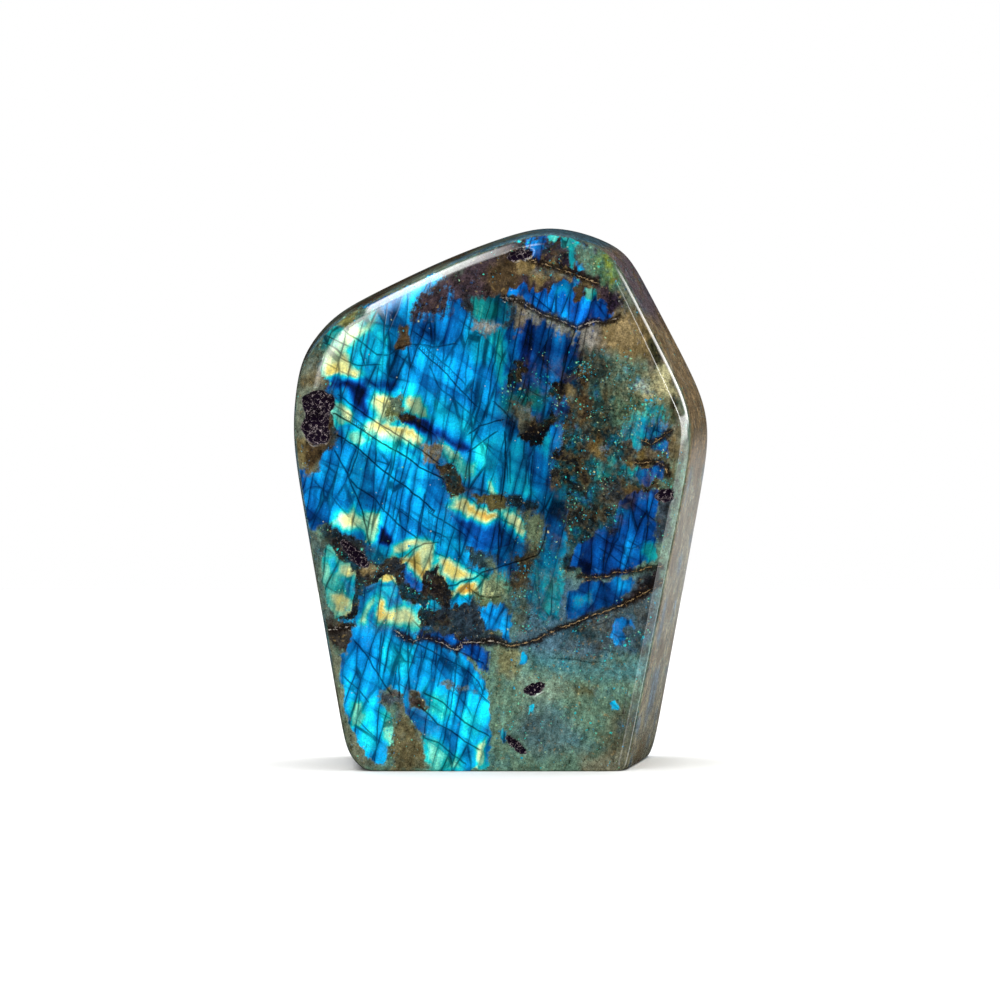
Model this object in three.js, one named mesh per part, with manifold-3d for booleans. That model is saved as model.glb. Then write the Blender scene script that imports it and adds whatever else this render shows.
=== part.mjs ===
// Polished labradorite free-form: one upright slab of stone that stands on a sawn flat base.
// Millimetres. +Z is up, the broad polished face looks towards -Y, and +X is to its right.
// The origin is under the middle of the stone, on the plane that it stands on.
import * as THREE from "three";
import { mergeVertices } from "three/addons/utils/BufferGeometryUtils.js";
import Module from "manifold-3d";

const wasm = await Module();
wasm.setup();

// Every ground facet is a plane, given by its distance from this point deep inside the stone.
const HUB = new THREE.Vector3(-0.25, -0.4, 60);

// The facets round the outline. facing is where a facet looks, seen from the front, in degrees from
// +X towards +Z. lean tips it towards the viewer in degrees, and reach is its distance from the hub.
const OUTLINE_FACETS = {
  leftFlank: { facing: 189.9, lean: 2, reach: 44.0 },
  lowerShoulder: { facing: 172, lean: 2, reach: 49.1 },
  shoulder: { facing: 143, lean: 3, reach: 55.0 },
  slope: { facing: 117, lean: 4, reach: 53.6 },
  crown: { facing: 107, lean: 4, reach: 55.8 },
  crest: { facing: 82, lean: 4, reach: 62.1 },
  brow: { facing: 63, lean: 6, reach: 61.9 },
  rightSlope: { facing: 27.3, lean: 9.3, reach: 49.4 },
  rightCorner: { facing: 8, lean: 9, reach: 47.6 },
  rightFlank: { facing: 349, lean: 10, reach: 42 },
  leftFoot: { facing: 232, lean: 1, reach: 66.6 },
  rightFoot: { facing: 312, lean: 4, reach: 67.1 },
  underside: { facing: 270, lean: 0, reach: 63 },
};

// The two broad faces, which draw together towards the top. tilt is in degrees from upright.
const FRONT_FACE = { tilt: 2.5, reach: 18.8 };
const BACK_FACE = { tilt: 5, reach: 17 };

// Narrow flats ground along the right-hand edge of the front face.
const EDGE_FLATS = {
  besideSlope: { facing: 27.3, lean: 46, reach: 43.6 },
  besideFlank: { facing: 351.7, lean: 46, reach: 39.7 },
};

// How softly neighbouring facets run together. About two thirds of this is rubbed off at an edge.
const OUTLINE_SOFTNESS = 1.3;
const RIM_SOFTNESS = 1.6;
const FLAT_SOFTNESS = 0.35;

// Open pits where crumbly matrix fell out of the polished surface. at is the place on the face, as X
// and Z, and turn is the long axis's angle in degrees, both seen from the front. The rest are half sizes.
const FRONT = -1;
const BACK = 1;
const PITS = [
  { face: FRONT, at: [-40.7, 81.1], long: 3.5, wide: 3.3, deep: 1.7, turn: 60 }, // large pit, upper lobe
  { face: FRONT, at: [-41.1, 76.4], long: 3.9, wide: 2.9, deep: 1.8, turn: 96 }, // large pit, lower lobe
  { face: FRONT, at: [-32.3, 48.0], long: 4.0, wide: 1.3, deep: 1.2, turn: -45 }, // slanting pit
  { face: FRONT, at: [4.2, 114.6], long: 2.8, wide: 1.1, deep: 1.0, turn: 12 }, // pit at the top edge
  { face: FRONT, at: [7.3, 18.3], long: 2.3, wide: 1.2, deep: 0.9, turn: 18 }, // forked pit
  { face: FRONT, at: [3.4, 5.8], long: 2.9, wide: 0.9, deep: 0.8, turn: -42 }, // pit above the base
  { face: FRONT, at: [36.4, 61.2], long: 2.0, wide: 1.4, deep: 1.0, turn: 10 }, // crumbs by the right edge
  { face: BACK, at: [-18.0, 84.0], long: 3.6, wide: 1.5, deep: 1.2, turn: 30 }, // back, high
  { face: BACK, at: [22.0, 58.0], long: 2.6, wide: 1.4, deep: 1.1, turn: -55 }, // back, middle
  { face: BACK, at: [-8.0, 27.0], long: 4.2, wide: 1.2, deep: 1.0, turn: -20 }, // back, low
];

// How far a pit's wall strays from a plain bowl, as a share of its half size.
const PIT_LUMPINESS = 0.06;

// How finely the ground surface is divided, and how much a turn counts beside a length, in mm a radian.
const COLUMNS = 84;
const ROWS = 40;
const TURN_WEIGHT = 30;
const WALK_STEPS = 400;

const STONE_COLOUR = "#1f6f8f";
const STONE_ROUGHNESS = 0.12;

/** The unit normal of a facet that looks a given way and leans towards the viewer. */
function facetNormal({ facing, lean }) {
  const turn = THREE.MathUtils.degToRad(facing);
  const tip = THREE.MathUtils.degToRad(lean);
  return new THREE.Vector3(Math.cos(tip) * Math.cos(turn), -Math.sin(tip), Math.cos(tip) * Math.sin(turn));
}

/** A broad face's plane, tipped back from upright about the X axis. side is FRONT or BACK. */
function broadPlane({ tilt, reach }, side) {
  const tip = THREE.MathUtils.degToRad(tilt);
  return { normal: new THREE.Vector3(0, side * Math.cos(tip), Math.sin(tip)), reach };
}

const toPlanes = (facets) =>
  Object.values(facets).map((facet) => ({ normal: facetNormal(facet), reach: facet.reach }));
const outlinePlanes = toPlanes(OUTLINE_FACETS);
const broadPlanes = [broadPlane(FRONT_FACE, FRONT), broadPlane(BACK_FACE, BACK)];
const flatPlanes = toPlanes(EDGE_FLATS);

/** How far a point, measured from the hub, lies beyond each plane. */
const beyond = (planes, point) => planes.map(({ normal, reach }) => normal.dot(point) - reach);

/** The largest of the values, with the change from one to the next rounded off. */
function softLargest(values, softness) {
  const top = Math.max(...values);
  const sum = values.reduce((total, value) => total + Math.exp((value - top) / softness), 0);
  return top + softness * Math.log(sum);
}

/** Below zero inside the ground stone and above zero outside it. The point is measured from the hub. */
function outside(point) {
  const outline = softLargest(beyond(outlinePlanes, point), OUTLINE_SOFTNESS);
  const slab = softLargest([outline, ...beyond(broadPlanes, point)], RIM_SOFTNESS);
  return softLargest([slab, ...beyond(flatPlanes, point)], FLAT_SOFTNESS);
}

/** Where a line from a start point leaves the stone, found by halving. All are measured from the hub. */
function leavesAt(start, direction, farthest = 140, halvings = 44) {
  let [near, far] = [0, farthest];
  const at = (distance) => start.clone().addScaledVector(direction, distance);
  for (let i = 0; i < halvings; i += 1) {
    const middle = (near + far) / 2;
    if (outside(at(middle)) > 0) far = middle;
    else near = middle;
  }
  return at(near);
}

/** The surface point towards a bearing round the outline and a rise from the front to the back. */
function surfacePoint(bearing, rise) {
  const across = Math.cos(rise);
  const direction = new THREE.Vector3(across * Math.cos(bearing), Math.sin(rise), across * Math.sin(bearing));
  return leavesAt(new THREE.Vector3(), direction);
}

/**
 * Parameters from first to last that cut a line into steps even in length plus turn, so that rounded
 * edges get more of them than flats. pointAt gives the line's point at a parameter.
 */
function evenSteps(pointAt, first, last, count) {
  const walk = Array.from({ length: WALK_STEPS + 1 }, (_, i) => first + ((last - first) * i) / WALK_STEPS);
  const points = walk.map(pointAt);
  const measure = [0];
  for (let i = 1; i <= WALK_STEPS; i += 1) {
    const step = points[i].clone().sub(points[i - 1]);
    const before = points[Math.max(i - 1, 1)].clone().sub(points[Math.max(i - 2, 0)]);
    measure.push(measure[i - 1] + step.length() + TURN_WEIGHT * step.angleTo(before));
  }
  const steps = [];
  let i = 1;
  for (let k = 0; k <= count; k += 1) {
    const target = (measure[WALK_STEPS] * k) / count;
    while (i < WALK_STEPS && measure[i] < target) i += 1;
    const share = (target - measure[i - 1]) / (measure[i] - measure[i - 1]);
    steps.push(THREE.MathUtils.lerp(walk[i - 1], walk[i], share));
  }
  return steps;
}

/** A closed geometry with shared vertices, from one whose seams and poles are doubled. */
function welded(geometry) {
  geometry.deleteAttribute("normal");
  geometry.deleteAttribute("uv");
  return mergeVertices(geometry, 1e-4);
}

/** The ground body: a sphere with its poles on the broad faces, each vertex moved out to the facets. */
function groundBody() {
  const blank = new THREE.SphereGeometry(1, COLUMNS, ROWS);
  const bearings = evenSteps((bearing) => surfacePoint(bearing, 0), Math.PI, -Math.PI, COLUMNS);
  bearings.forEach((bearing, column) => {
    const rises = evenSteps((rise) => surfacePoint(bearing, rise), Math.PI / 2, -Math.PI / 2, ROWS);
    rises.forEach((rise, row) => {
      const place = surfacePoint(column === COLUMNS ? bearings[0] : bearing, rise).add(HUB);
      blank.attributes.position.setXYZ(row * (COLUMNS + 1) + column, place.x, place.y, place.z);
    });
  });
  return welded(blank);
}

/** A rough lump the size of a pit, centred on the surface of the face that the pit is in. */
function pitLump({ face, at: [x, z], long, wide, deep, turn }) {
  const lump = welded(new THREE.IcosahedronGeometry(1, 2));
  const corner = new THREE.Vector3();
  const places = lump.attributes.position;
  for (let i = 0; i < places.count; i += 1) {
    corner.fromBufferAttribute(places, i);
    const waves = Math.sin(3 * corner.x + x) + Math.sin(5 * corner.z + z) + Math.sin(4 * corner.y + deep);
    corner.multiplyScalar(1 + PIT_LUMPINESS * waves);
    places.setXYZ(i, corner.x, corner.y, corner.z);
  }
  const start = new THREE.Vector3(x, 0, z).sub(HUB);
  const mouth = leavesAt(start, new THREE.Vector3(0, face, 0)).add(HUB);
  lump.scale(long, deep, wide);
  lump.rotateY(-THREE.MathUtils.degToRad(turn));
  lump.translate(mouth.x, mouth.y, mouth.z);
  return lump;
}

/** The solid that a closed geometry bounds. */
function solid(geometry) {
  const vertProperties = new Float32Array(geometry.attributes.position.array);
  const triVerts = new Uint32Array(geometry.index.array);
  return new wasm.Manifold(new wasm.Mesh({ numProp: 3, vertProperties, triVerts }));
}

/** The geometry of a solid's surface. */
function surface(body) {
  const { vertProperties, triVerts } = body.getMesh();
  const geometry = new THREE.BufferGeometry();
  geometry.setAttribute("position", new THREE.BufferAttribute(vertProperties, 3));
  geometry.setIndex(new THREE.BufferAttribute(triVerts, 1));
  geometry.computeVertexNormals();
  return geometry;
}

/** What the saw takes off to leave the flat base: everything below the origin's plane. */
function sawnOff() {
  const size = 200;
  return welded(new THREE.BoxGeometry(size, size, size).translate(0, 0, -size / 2));
}

/** The whole stone: the ground body, sawn off flat below and pitted. */
function stone() {
  let body = solid(groundBody()).subtract(solid(sawnOff()));
  for (const pit of PITS) body = body.subtract(solid(pitLump(pit)));
  const finish = new THREE.MeshStandardMaterial({
    color: STONE_COLOUR,
    roughness: STONE_ROUGHNESS,
    metalness: 0,
  });
  const mesh = new THREE.Mesh(surface(body), finish);
  mesh.name = "stone";
  return mesh;
}

const labradorite = new THREE.Group();
labradorite.add(stone());

export default labradorite;
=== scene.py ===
"""A polished labradorite free-form: the stone itself, and the pale floor, lights and camera round it.

The stone is one upright slab of iridescent feldspar, ground into broad facets, polished all over and
sawn flat below. Its surface is where a rounded-off largest of its facet planes is zero. What lies
under the polish is painted on the surface's own points: the lamella level, which sets the colour of the
flash, the ground colour of the dark matrix, and the seams that cross them. Lengths are in millimetres,
and are turned to metres where they go into Blender.
"""
import logging
import math
from dataclasses import dataclass, field
from enum import Enum
from functools import reduce

import bpy
import numpy as np
from mathutils import Matrix, Vector


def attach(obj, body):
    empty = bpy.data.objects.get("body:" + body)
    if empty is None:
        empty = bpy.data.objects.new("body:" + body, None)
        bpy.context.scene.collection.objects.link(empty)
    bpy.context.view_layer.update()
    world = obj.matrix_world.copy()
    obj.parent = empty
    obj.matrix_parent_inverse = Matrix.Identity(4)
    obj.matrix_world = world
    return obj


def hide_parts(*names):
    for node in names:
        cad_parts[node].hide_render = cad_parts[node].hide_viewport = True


Array = np.ndarray
Triple = tuple[float, float, float]

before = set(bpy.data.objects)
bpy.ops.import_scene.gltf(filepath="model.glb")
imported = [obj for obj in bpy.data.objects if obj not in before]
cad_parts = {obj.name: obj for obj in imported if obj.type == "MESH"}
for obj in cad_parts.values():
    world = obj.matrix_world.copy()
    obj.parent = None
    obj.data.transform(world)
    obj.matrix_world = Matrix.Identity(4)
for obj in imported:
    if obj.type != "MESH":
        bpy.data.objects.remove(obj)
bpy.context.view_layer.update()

log = logging.getLogger("labradorite")

MM = 0.001                  # metres in a millimetre
BAKE_MAP = "OFBake"         # the name that the export looks for in a piece's own UV map


def linear(hex_colour: str) -> Array:
    """Turn an sRGB hex colour into linear red, green and blue.

    Args:
        hex_colour: A colour such as "#6B7362".

    Returns:
        Three numbers from 0 to 1.
    """
    shares = np.array([int(hex_colour[i:i + 2], 16) / 255 for i in (1, 3, 5)])
    return np.where(shares <= 0.04045, shares / 12.92, ((shares + 0.055) / 1.055) ** 2.4)


def rgba(hex_colour: str) -> tuple[float, float, float, float]:
    """The linear red, green, blue and alpha of an sRGB hex colour."""
    return (*map(float, linear(hex_colour)), 1.0)


def smooth(values: Array, low: float, high: float) -> Array:
    """Ease from 0 at low to 1 at high: 3t^2 - 2t^3 of the share t of the way between them."""
    share = np.clip((values - low) / (high - low), 0, 1)
    return share * share * (3 - 2 * share)


def soft_largest(values: Array, softness: float) -> Array:
    """The largest along the last axis, rounded off: softness * log(sum(exp(value / softness))).

    Args:
        values: Any array.
        softness: How far the rounding reaches, in the values' own unit.

    Returns:
        An array without the last axis.
    """
    top = values.max(axis=-1)
    return top + softness * np.log(np.exp((values - top[..., None]) / softness).sum(axis=-1))


def lattice_noise(places: Array, wavelength: float | tuple[float, ...], seed: int) -> Array:
    """Smooth noise from -1 to 1: random values on a cubic lattice, blended by smoothstep in between.

    Args:
        places: Points, one row each.
        wavelength: The lattice's step, one for all axes or one for each.
        seed: Which noise it is.

    Returns:
        One value for each point.
    """
    size = 48          # the lattice repeats after this many steps
    origin = 100.0     # where in it the places' own origin lies
    table = np.random.default_rng(seed).uniform(-1, 1, (size, size, size))
    at = places / np.asarray(wavelength) + origin
    corner = np.floor(at).astype(int)
    share = at - corner
    share = share * share * (3 - 2 * share)
    total = np.zeros(len(places))
    for step in np.ndindex(2, 2, 2):
        weight = np.where(step, share, 1 - share).prod(axis=1)
        i, j, k = ((corner + step) % size).T
        total += weight * table[i, j, k]
    return total


class Face(Enum):
    """The broad faces, by the way that each looks along Y."""

    FRONT = -1
    BACK = 1


@dataclass(frozen=True)
class Facet:
    """One ground plane, seen from the front of the stone.

    facing is where it looks, in degrees from +X towards +Z. lean tips it towards the viewer in degrees,
    and reach is its distance from the hub.
    """

    facing: float
    lean: float
    reach: float

    @property
    def normal(self) -> Array:
        """The unit vector that points straight out of the facet."""
        turn, tip = math.radians(self.facing), math.radians(self.lean)
        return np.array((math.cos(tip) * math.cos(turn), -math.sin(tip), math.cos(tip) * math.sin(turn)))


@dataclass(frozen=True)
class BroadFace:
    """One of the two broad faces: the side it is on, its tilt back from upright in degrees, its reach."""

    side: Face
    tilt: float
    reach: float

    @property
    def normal(self) -> Array:
        """The unit vector that points straight out of the face."""
        tip = math.radians(self.tilt)
        return np.array((0.0, self.side.value * math.cos(tip), math.sin(tip)))


@dataclass(frozen=True)
class Pit:
    """An open pit where crumbly matrix fell out. at is its place as X and Z and turn its long axis's angle
    in degrees, both seen from the front. long, wide and deep are half sizes."""

    face: Face
    at: tuple[float, float]
    long: float
    wide: float
    deep: float
    turn: float
    waviness: float = 0.07    # how far the rim strays from an ellipse

    def reach(self, x: Array, z: Array) -> Array:
        """How far each place is from the middle of the pit, as a share of its half size there.

        Args:
            x: The places' X.
            z: The places' Z.

        Returns:
            0 in the middle and 1 on the rim.
        """
        turn = math.radians(self.turn)
        along = (x - self.at[0]) * math.cos(turn) + (z - self.at[1]) * math.sin(turn)
        across = (z - self.at[1]) * math.cos(turn) - (x - self.at[0]) * math.sin(turn)
        bearing = np.arctan2(across, along)
        waves = (np.sin(3 * bearing + self.at[0]) + 0.7 * np.sin(5 * bearing + self.at[1])
                 + 0.4 * np.sin(9 * bearing))
        return np.hypot(along / self.long, across / self.wide) / (1 + self.waviness * waves)

    def depth(self, x: Array, z: Array) -> Array:
        """How deep the pit is at each place: a bowl with steep walls, deep times (1 - reach^4)^0.5."""
        return self.deep * np.sqrt(np.clip(1 - self.reach(x, z) ** 4, 0, 1))


@dataclass
class Grid:
    """How finely the surface is divided."""

    across: int = 72          # columns of the back face's grid
    up: int = 93              # rows of the back face's grid
    finer: int = 3            # how many times finer the front face's grid is
    fillet_rows: int = 14     # rows over the rounded edge of the front face
    side_rows: int = 36       # rows from there over the side to the back face
    probes: int = 400         # places tried along a section
    rim_probes: int = 181     # and along each side of the rim
    turn_weight: float = 14.0  # how much a turn counts beside a length, in mm a radian
    front_rim: float = 0.985  # the share of the normal that looks to the front where the front face ends
    side_start: float = 0.30  # and where the fine rows end
    back_rim: float = 0.97    # the same towards the back


@dataclass
class StoneShape:
    """The stone's ground form, with the sizes of its facets, and the fine mesh of it."""

    hub: Triple = (-0.25, -0.4, 60.0)
    outline: tuple[Facet, ...] = (
        Facet(189.9, 2, 44.0),    # left flank
        Facet(172, 2, 49.1),      # lower shoulder
        Facet(143, 3, 55.0),      # shoulder
        Facet(117, 4, 53.6),      # slope
        Facet(107, 4, 55.8),      # crown
        Facet(82, 4, 62.1),       # crest
        Facet(63, 6, 61.9),       # brow
        Facet(27.3, 9.3, 49.4),   # right slope
        Facet(8, 9, 47.6),        # right corner
        Facet(349, 10, 42.0),     # right flank
        Facet(232, 1, 66.6),      # left foot
        Facet(312, 4, 67.1),      # right foot
        Facet(270, 0, 63.0),      # underside
    )
    broad: tuple[BroadFace, ...] = (BroadFace(Face.FRONT, 2.5, 18.8), BroadFace(Face.BACK, 5.0, 17.0))
    flats: tuple[Facet, ...] = (Facet(27.3, 46, 43.6), Facet(351.7, 46, 39.7))
    outline_softness: float = 1.3
    rim_softness: float = 1.6
    flat_softness: float = 0.35
    arris_softness: float = 0.25   # the sawn base's edge is only just eased
    polished_off: float = 0.05     # what the polish takes off the ground form
    pits: tuple[Pit, ...] = (
        Pit(Face.FRONT, (-40.7, 81.1), 3.5, 3.3, 1.7, 60),
        Pit(Face.FRONT, (-41.1, 76.4), 3.9, 2.9, 1.8, 96),
        Pit(Face.FRONT, (-32.3, 48.0), 4.0, 1.3, 1.2, -45),
        Pit(Face.FRONT, (4.2, 114.6), 2.8, 1.1, 1.0, 12),
        Pit(Face.FRONT, (7.3, 18.3), 2.3, 1.2, 0.9, 18),
        Pit(Face.FRONT, (3.4, 5.8), 2.9, 0.9, 0.8, -42),
        Pit(Face.FRONT, (36.4, 61.2), 2.0, 1.4, 1.0, 10),
        Pit(Face.BACK, (-18.0, 84.0), 3.6, 1.5, 1.2, 30),
        Pit(Face.BACK, (22.0, 58.0), 2.6, 1.4, 1.1, -55),
        Pit(Face.BACK, (-8.0, 27.0), 4.2, 1.2, 1.0, -20),
    )
    # The corners of the face's grid, seen from the front, as bearings in degrees from +X towards +Z:
    # foot left, shoulder left, brow right and foot right, which is round by way of the top.
    corners: tuple[float, ...] = (241.0, 145.0, 61.0, -61.0)
    grid: Grid = field(default_factory=Grid)

    def __post_init__(self) -> None:
        """Work out the planes once."""
        self._outline = self._planes(self.outline)
        self._broad = self._planes(self.broad)
        self._flats = self._planes(self.flats)

    @staticmethod
    def _planes(facets: tuple[Facet | BroadFace, ...]) -> tuple[Array, Array]:
        """The normals and reaches of facets, as arrays."""
        return np.array([f.normal for f in facets]), np.array([f.reach for f in facets])

    def outside(self, places: Array) -> Array:
        """Below zero inside the stone and above zero outside it.

        The distances beyond the outline's planes are rounded off together, then with those beyond the
        broad faces, with those beyond the narrow flats and with the saw's plane.

        Args:
            places: Points measured from the hub, along the last axis.

        Returns:
            One value for each point.
        """
        def beyond(planes: tuple[Array, Array]) -> Array:
            return places @ planes[0].T - planes[1]

        outline = soft_largest(beyond(self._outline), self.outline_softness)[..., None]
        slab = soft_largest(np.concatenate((outline, beyond(self._broad)), axis=-1), self.rim_softness)
        ground = soft_largest(np.concatenate((slab[..., None], beyond(self._flats)), axis=-1),
                              self.flat_softness) + self.polished_off
        sawn = -self.hub[2] - places[..., 2]
        return soft_largest(np.stack((ground, sawn), axis=-1), self.arris_softness)

    def leaves_at(self, start: Array, direction: Array, farthest: float = 140.0,
                  halvings: int = 32) -> Array:
        """Where lines from start points leave the stone, found by halving.

        Args:
            start: Points inside the stone, measured from the hub.
            direction: A unit vector for each.
            farthest: A distance at which every line is outside.
            halvings: How often the distance is halved.

        Returns:
            The surface points, measured from the hub.
        """
        near = np.zeros(np.broadcast_shapes(start.shape, direction.shape)[:-1])
        far = np.full_like(near, farthest)
        for _ in range(halvings):
            middle = (near + far) / 2
            out = self.outside(start + direction * middle[..., None]) > 0
            far = np.where(out, middle, far)
            near = np.where(out, near, middle)
        return start + direction * near[..., None]

    def normals_at(self, places: Array) -> Array:
        """The surface's unit normals: the slope of the outside value along each axis, over its length."""
        step = 1e-3
        slope = np.stack([self.outside(places + step * axis) - self.outside(places - step * axis)
                          for axis in np.eye(3)], axis=-1)
        return slope / np.linalg.norm(slope, axis=-1, keepdims=True)

    def surface(self, bearings: Array, rises: Array) -> Array:
        """The surface points towards bearings round the outline and rises from the front to the back."""
        bearings, rises = np.broadcast_arrays(bearings, rises)
        directions = np.stack((np.cos(rises) * np.cos(bearings), np.sin(rises),
                               np.cos(rises) * np.sin(bearings)), axis=-1)
        return self.leaves_at(np.zeros(3), directions)

    def sections(self, bearings: Array) -> tuple[Array, Array, Array]:
        """Cut the stone from the hub towards each bearing.

        Args:
            bearings: The bearings in radians.

        Returns:
            The rises tried from front to back, the way walked along each section, in which a turn
            counts beside a length, and the share of the normal there that looks to the back.
        """
        rises = np.linspace(-math.pi / 2, math.pi / 2, self.grid.probes)
        places = self.surface(bearings[:, None], rises[None, :])
        normals = self.normals_at(places)
        return rises, self._way(places, normals), normals[..., 1]

    def _way(self, places: Array, normals: Array) -> Array:
        """The way walked along rows of points: length plus the turn of the normal times its weight."""
        length = np.linalg.norm(np.diff(places, axis=-2), axis=-1)
        cosine = (normals[..., 1:, :] * normals[..., :-1, :]).sum(axis=-1)
        turn = np.arccos(np.clip(cosine, -1, 1))
        steps = length + self.grid.turn_weight * turn
        return np.concatenate((np.zeros_like(steps[..., :1]), np.cumsum(steps, axis=-1)), axis=-1)

    @staticmethod
    def _reached(way: Array, rises: Array, targets: Array) -> Array:
        """The rise at which each section has gone a given way, by straight lines between the probes.

        Args:
            way: The way at each probe, a row for each section.
            rises: The rises of the probes.
            targets: The ways to reach, a row for each section.

        Returns:
            A rise for each target.
        """
        after = np.clip((way[:, None, :] < targets[..., None]).sum(axis=-1), 1, way.shape[1] - 1)
        low = np.take_along_axis(way, after - 1, axis=1)
        high = np.take_along_axis(way, after, axis=1)
        share = (targets - low) / np.maximum(high - low, 1e-9)
        return rises[after - 1] + share * (rises[after] - rises[after - 1])

    @staticmethod
    def _way_where(way: Array, share: Array, level: float) -> Array:
        """The way at which each section's share first passes a level, by a straight line between probes."""
        after = np.clip((share > level).argmax(axis=1), 1, None)[:, None]
        high, low = (np.take_along_axis(share, at, axis=1) for at in (after, after - 1))
        gone, before = (np.take_along_axis(way, at, axis=1) for at in (after, after - 1))
        return before + (level - low) / np.maximum(high - low, 1e-9) * (gone - before)

    def _bearings(self) -> Array:
        """The bearings of the fine columns: the four sides of the rim, each cut into even steps."""
        sides = [self.grid.up, self.grid.across, self.grid.up, self.grid.across]
        corners = np.radians([*self.corners, self.corners[0] - 360])
        bearings = []
        for first, last, count in zip(corners[:-1], corners[1:], sides):
            tried = np.linspace(first, last, self.grid.rim_probes)
            rises, way, share = self.sections(tried)
            rim = self._reached(way, rises, self._way_where(way, share, -self.grid.front_rim))
            places = self.surface(tried[:, None], rim)[:, 0]
            along = self._way(places, self.normals_at(places))
            steps = np.arange(count * self.grid.finer) / (count * self.grid.finer)
            bearings.append(np.interp(steps * along[-1], along, tried))
        return np.concatenate(bearings)

    def _patch(self, ring: Array, across: int, up: int, side: Face) -> Array:
        """Fill a closed ring of points with a grid, each point moved along Y onto the surface.

        The grid is a Coons patch in X and Z: the two blends between opposite sides, less the blend
        between the corners.

        Args:
            ring: The ring's points from the foot left, up, over the top, down and back.
            across: Columns of the grid.
            up: Rows of the grid.
            side: Which way along Y the surface lies.

        Returns:
            (across + 1) by (up + 1) points.
        """
        closed = np.concatenate((ring, ring[:1]))
        left, top = closed[:up + 1], closed[up:up + across + 1]
        right = closed[up + across:2 * up + across + 1][::-1]
        bottom = closed[2 * up + across:][::-1]
        u = np.linspace(0, 1, across + 1)[:, None, None]
        v = np.linspace(0, 1, up + 1)[None, :, None]
        patch = ((1 - v) * bottom[:, None] + v * top[:, None] + (1 - u) * left[None] + u * right[None]
                 - (1 - u) * (1 - v) * left[0] - (1 - u) * v * left[-1]
                 - u * (1 - v) * right[0] - u * v * right[-1])
        inner = patch[1:-1, 1:-1] * (1, 0, 1)
        patch[1:-1, 1:-1] = self.leaves_at(inner, np.array((0.0, float(side.value), 0.0)))
        patch[0], patch[-1], patch[:, 0], patch[:, -1] = left, right, bottom, top
        return patch

    @staticmethod
    def _ring(table: Array) -> Array:
        """The outer entries of a grid, from the foot left, up, over the top, down and back."""
        return np.concatenate((table[0, :-1], table[:-1, -1], table[-1, :0:-1], table[:0:-1, 0]))

    def build(self) -> "FineMesh":
        """Cover the stone with quads: a fine grid on the front face, rows over its rounded edge, a strip
        where three columns become one, rows over the side, and a coarser grid on the back face.

        Returns:
            The mesh, with its map.
        """
        grid = self.grid
        bearings = self._bearings()
        rises, way, share = self.sections(bearings)
        starts = [self._way_where(way, share, level) for level in
                  (-grid.front_rim, -grid.side_start, grid.back_rim)]
        fine_steps = np.linspace(0, 1, grid.fillet_rows + 1)
        fine_rises = self._reached(way, rises, starts[0] + (starts[1] - starts[0]) * fine_steps)
        fillet = self.surface(bearings[:, None], fine_rises)
        side_steps = np.linspace(0, 1, grid.side_rows + 1)[1:]
        few = slice(None, None, grid.finer)
        side_rises = self._reached(way[few], rises, (starts[1] + (starts[2] - starts[1]) * side_steps)[few])
        side = self.surface(bearings[few][:, None], side_rises)
        front = self._patch(fillet[:, 0], grid.across * grid.finer, grid.up * grid.finer, Face.FRONT)
        back = self._patch(side[:, -1], grid.across, grid.up, Face.BACK)
        return self._stitch(front, fillet, side, back)

    def _stitch(self, front: Array, fillet: Array, side: Array, back: Array) -> "FineMesh":
        """Number the points of the four regions, and make the faces and the map between them."""
        count = 0

        def number(shape: tuple[int, int]) -> Array:
            nonlocal count
            table = np.arange(count, count + shape[0] * shape[1]).reshape(shape)
            count += table.size
            return table

        front_ids = number(front.shape[:2])
        fillet_ids = np.column_stack((self._ring(front_ids), number((len(fillet), fillet.shape[1] - 1))))
        side_ids = number(side.shape[:2])
        inner = number((back.shape[0] - 2, back.shape[1] - 2))
        back_ids = np.zeros(back.shape[:2], int)
        back_ids[1:-1, 1:-1] = inner
        across, up = self.grid.across, self.grid.up
        ring = np.append(side_ids[:, -1], side_ids[0, -1])
        back_ids[0], back_ids[:, -1] = ring[:up + 1], ring[up:up + across + 1]
        back_ids[-1] = ring[up + across:2 * up + across + 1][::-1]
        back_ids[:, 0] = ring[2 * up + across:][::-1]
        places = np.concatenate([part.reshape(-1, 3) for part in
                                 (front, fillet[:, 1:], side, back[1:-1, 1:-1])])
        normals = self.normals_at(places)
        mesh = FineMesh(places + self.hub, normals)
        layout = MapLayout()
        mesh.add_quads(front_ids, layout.flat(front + self.hub, Face.FRONT))
        mesh.add_quads(back_ids[:, ::-1], layout.flat(back + self.hub, Face.BACK)[:, ::-1])
        fillet_map = layout.band(len(fillet), np.linspace(0, layout.fillet_share, fillet.shape[1]))
        side_map = layout.band(len(side), np.linspace(layout.fillet_share, 1, side.shape[1] + 1)[1:])
        mesh.add_quads(np.concatenate((fillet_ids, fillet_ids[:1])), fillet_map)
        mesh.add_quads(np.concatenate((side_ids, side_ids[:1])), side_map)
        mesh.add_narrowing(np.append(fillet_ids[:, -1], fillet_ids[0, -1]), fillet_map[:, -1],
                           np.append(side_ids[:, 0], side_ids[0, 0]), side_map[:, 0])
        return mesh


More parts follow.
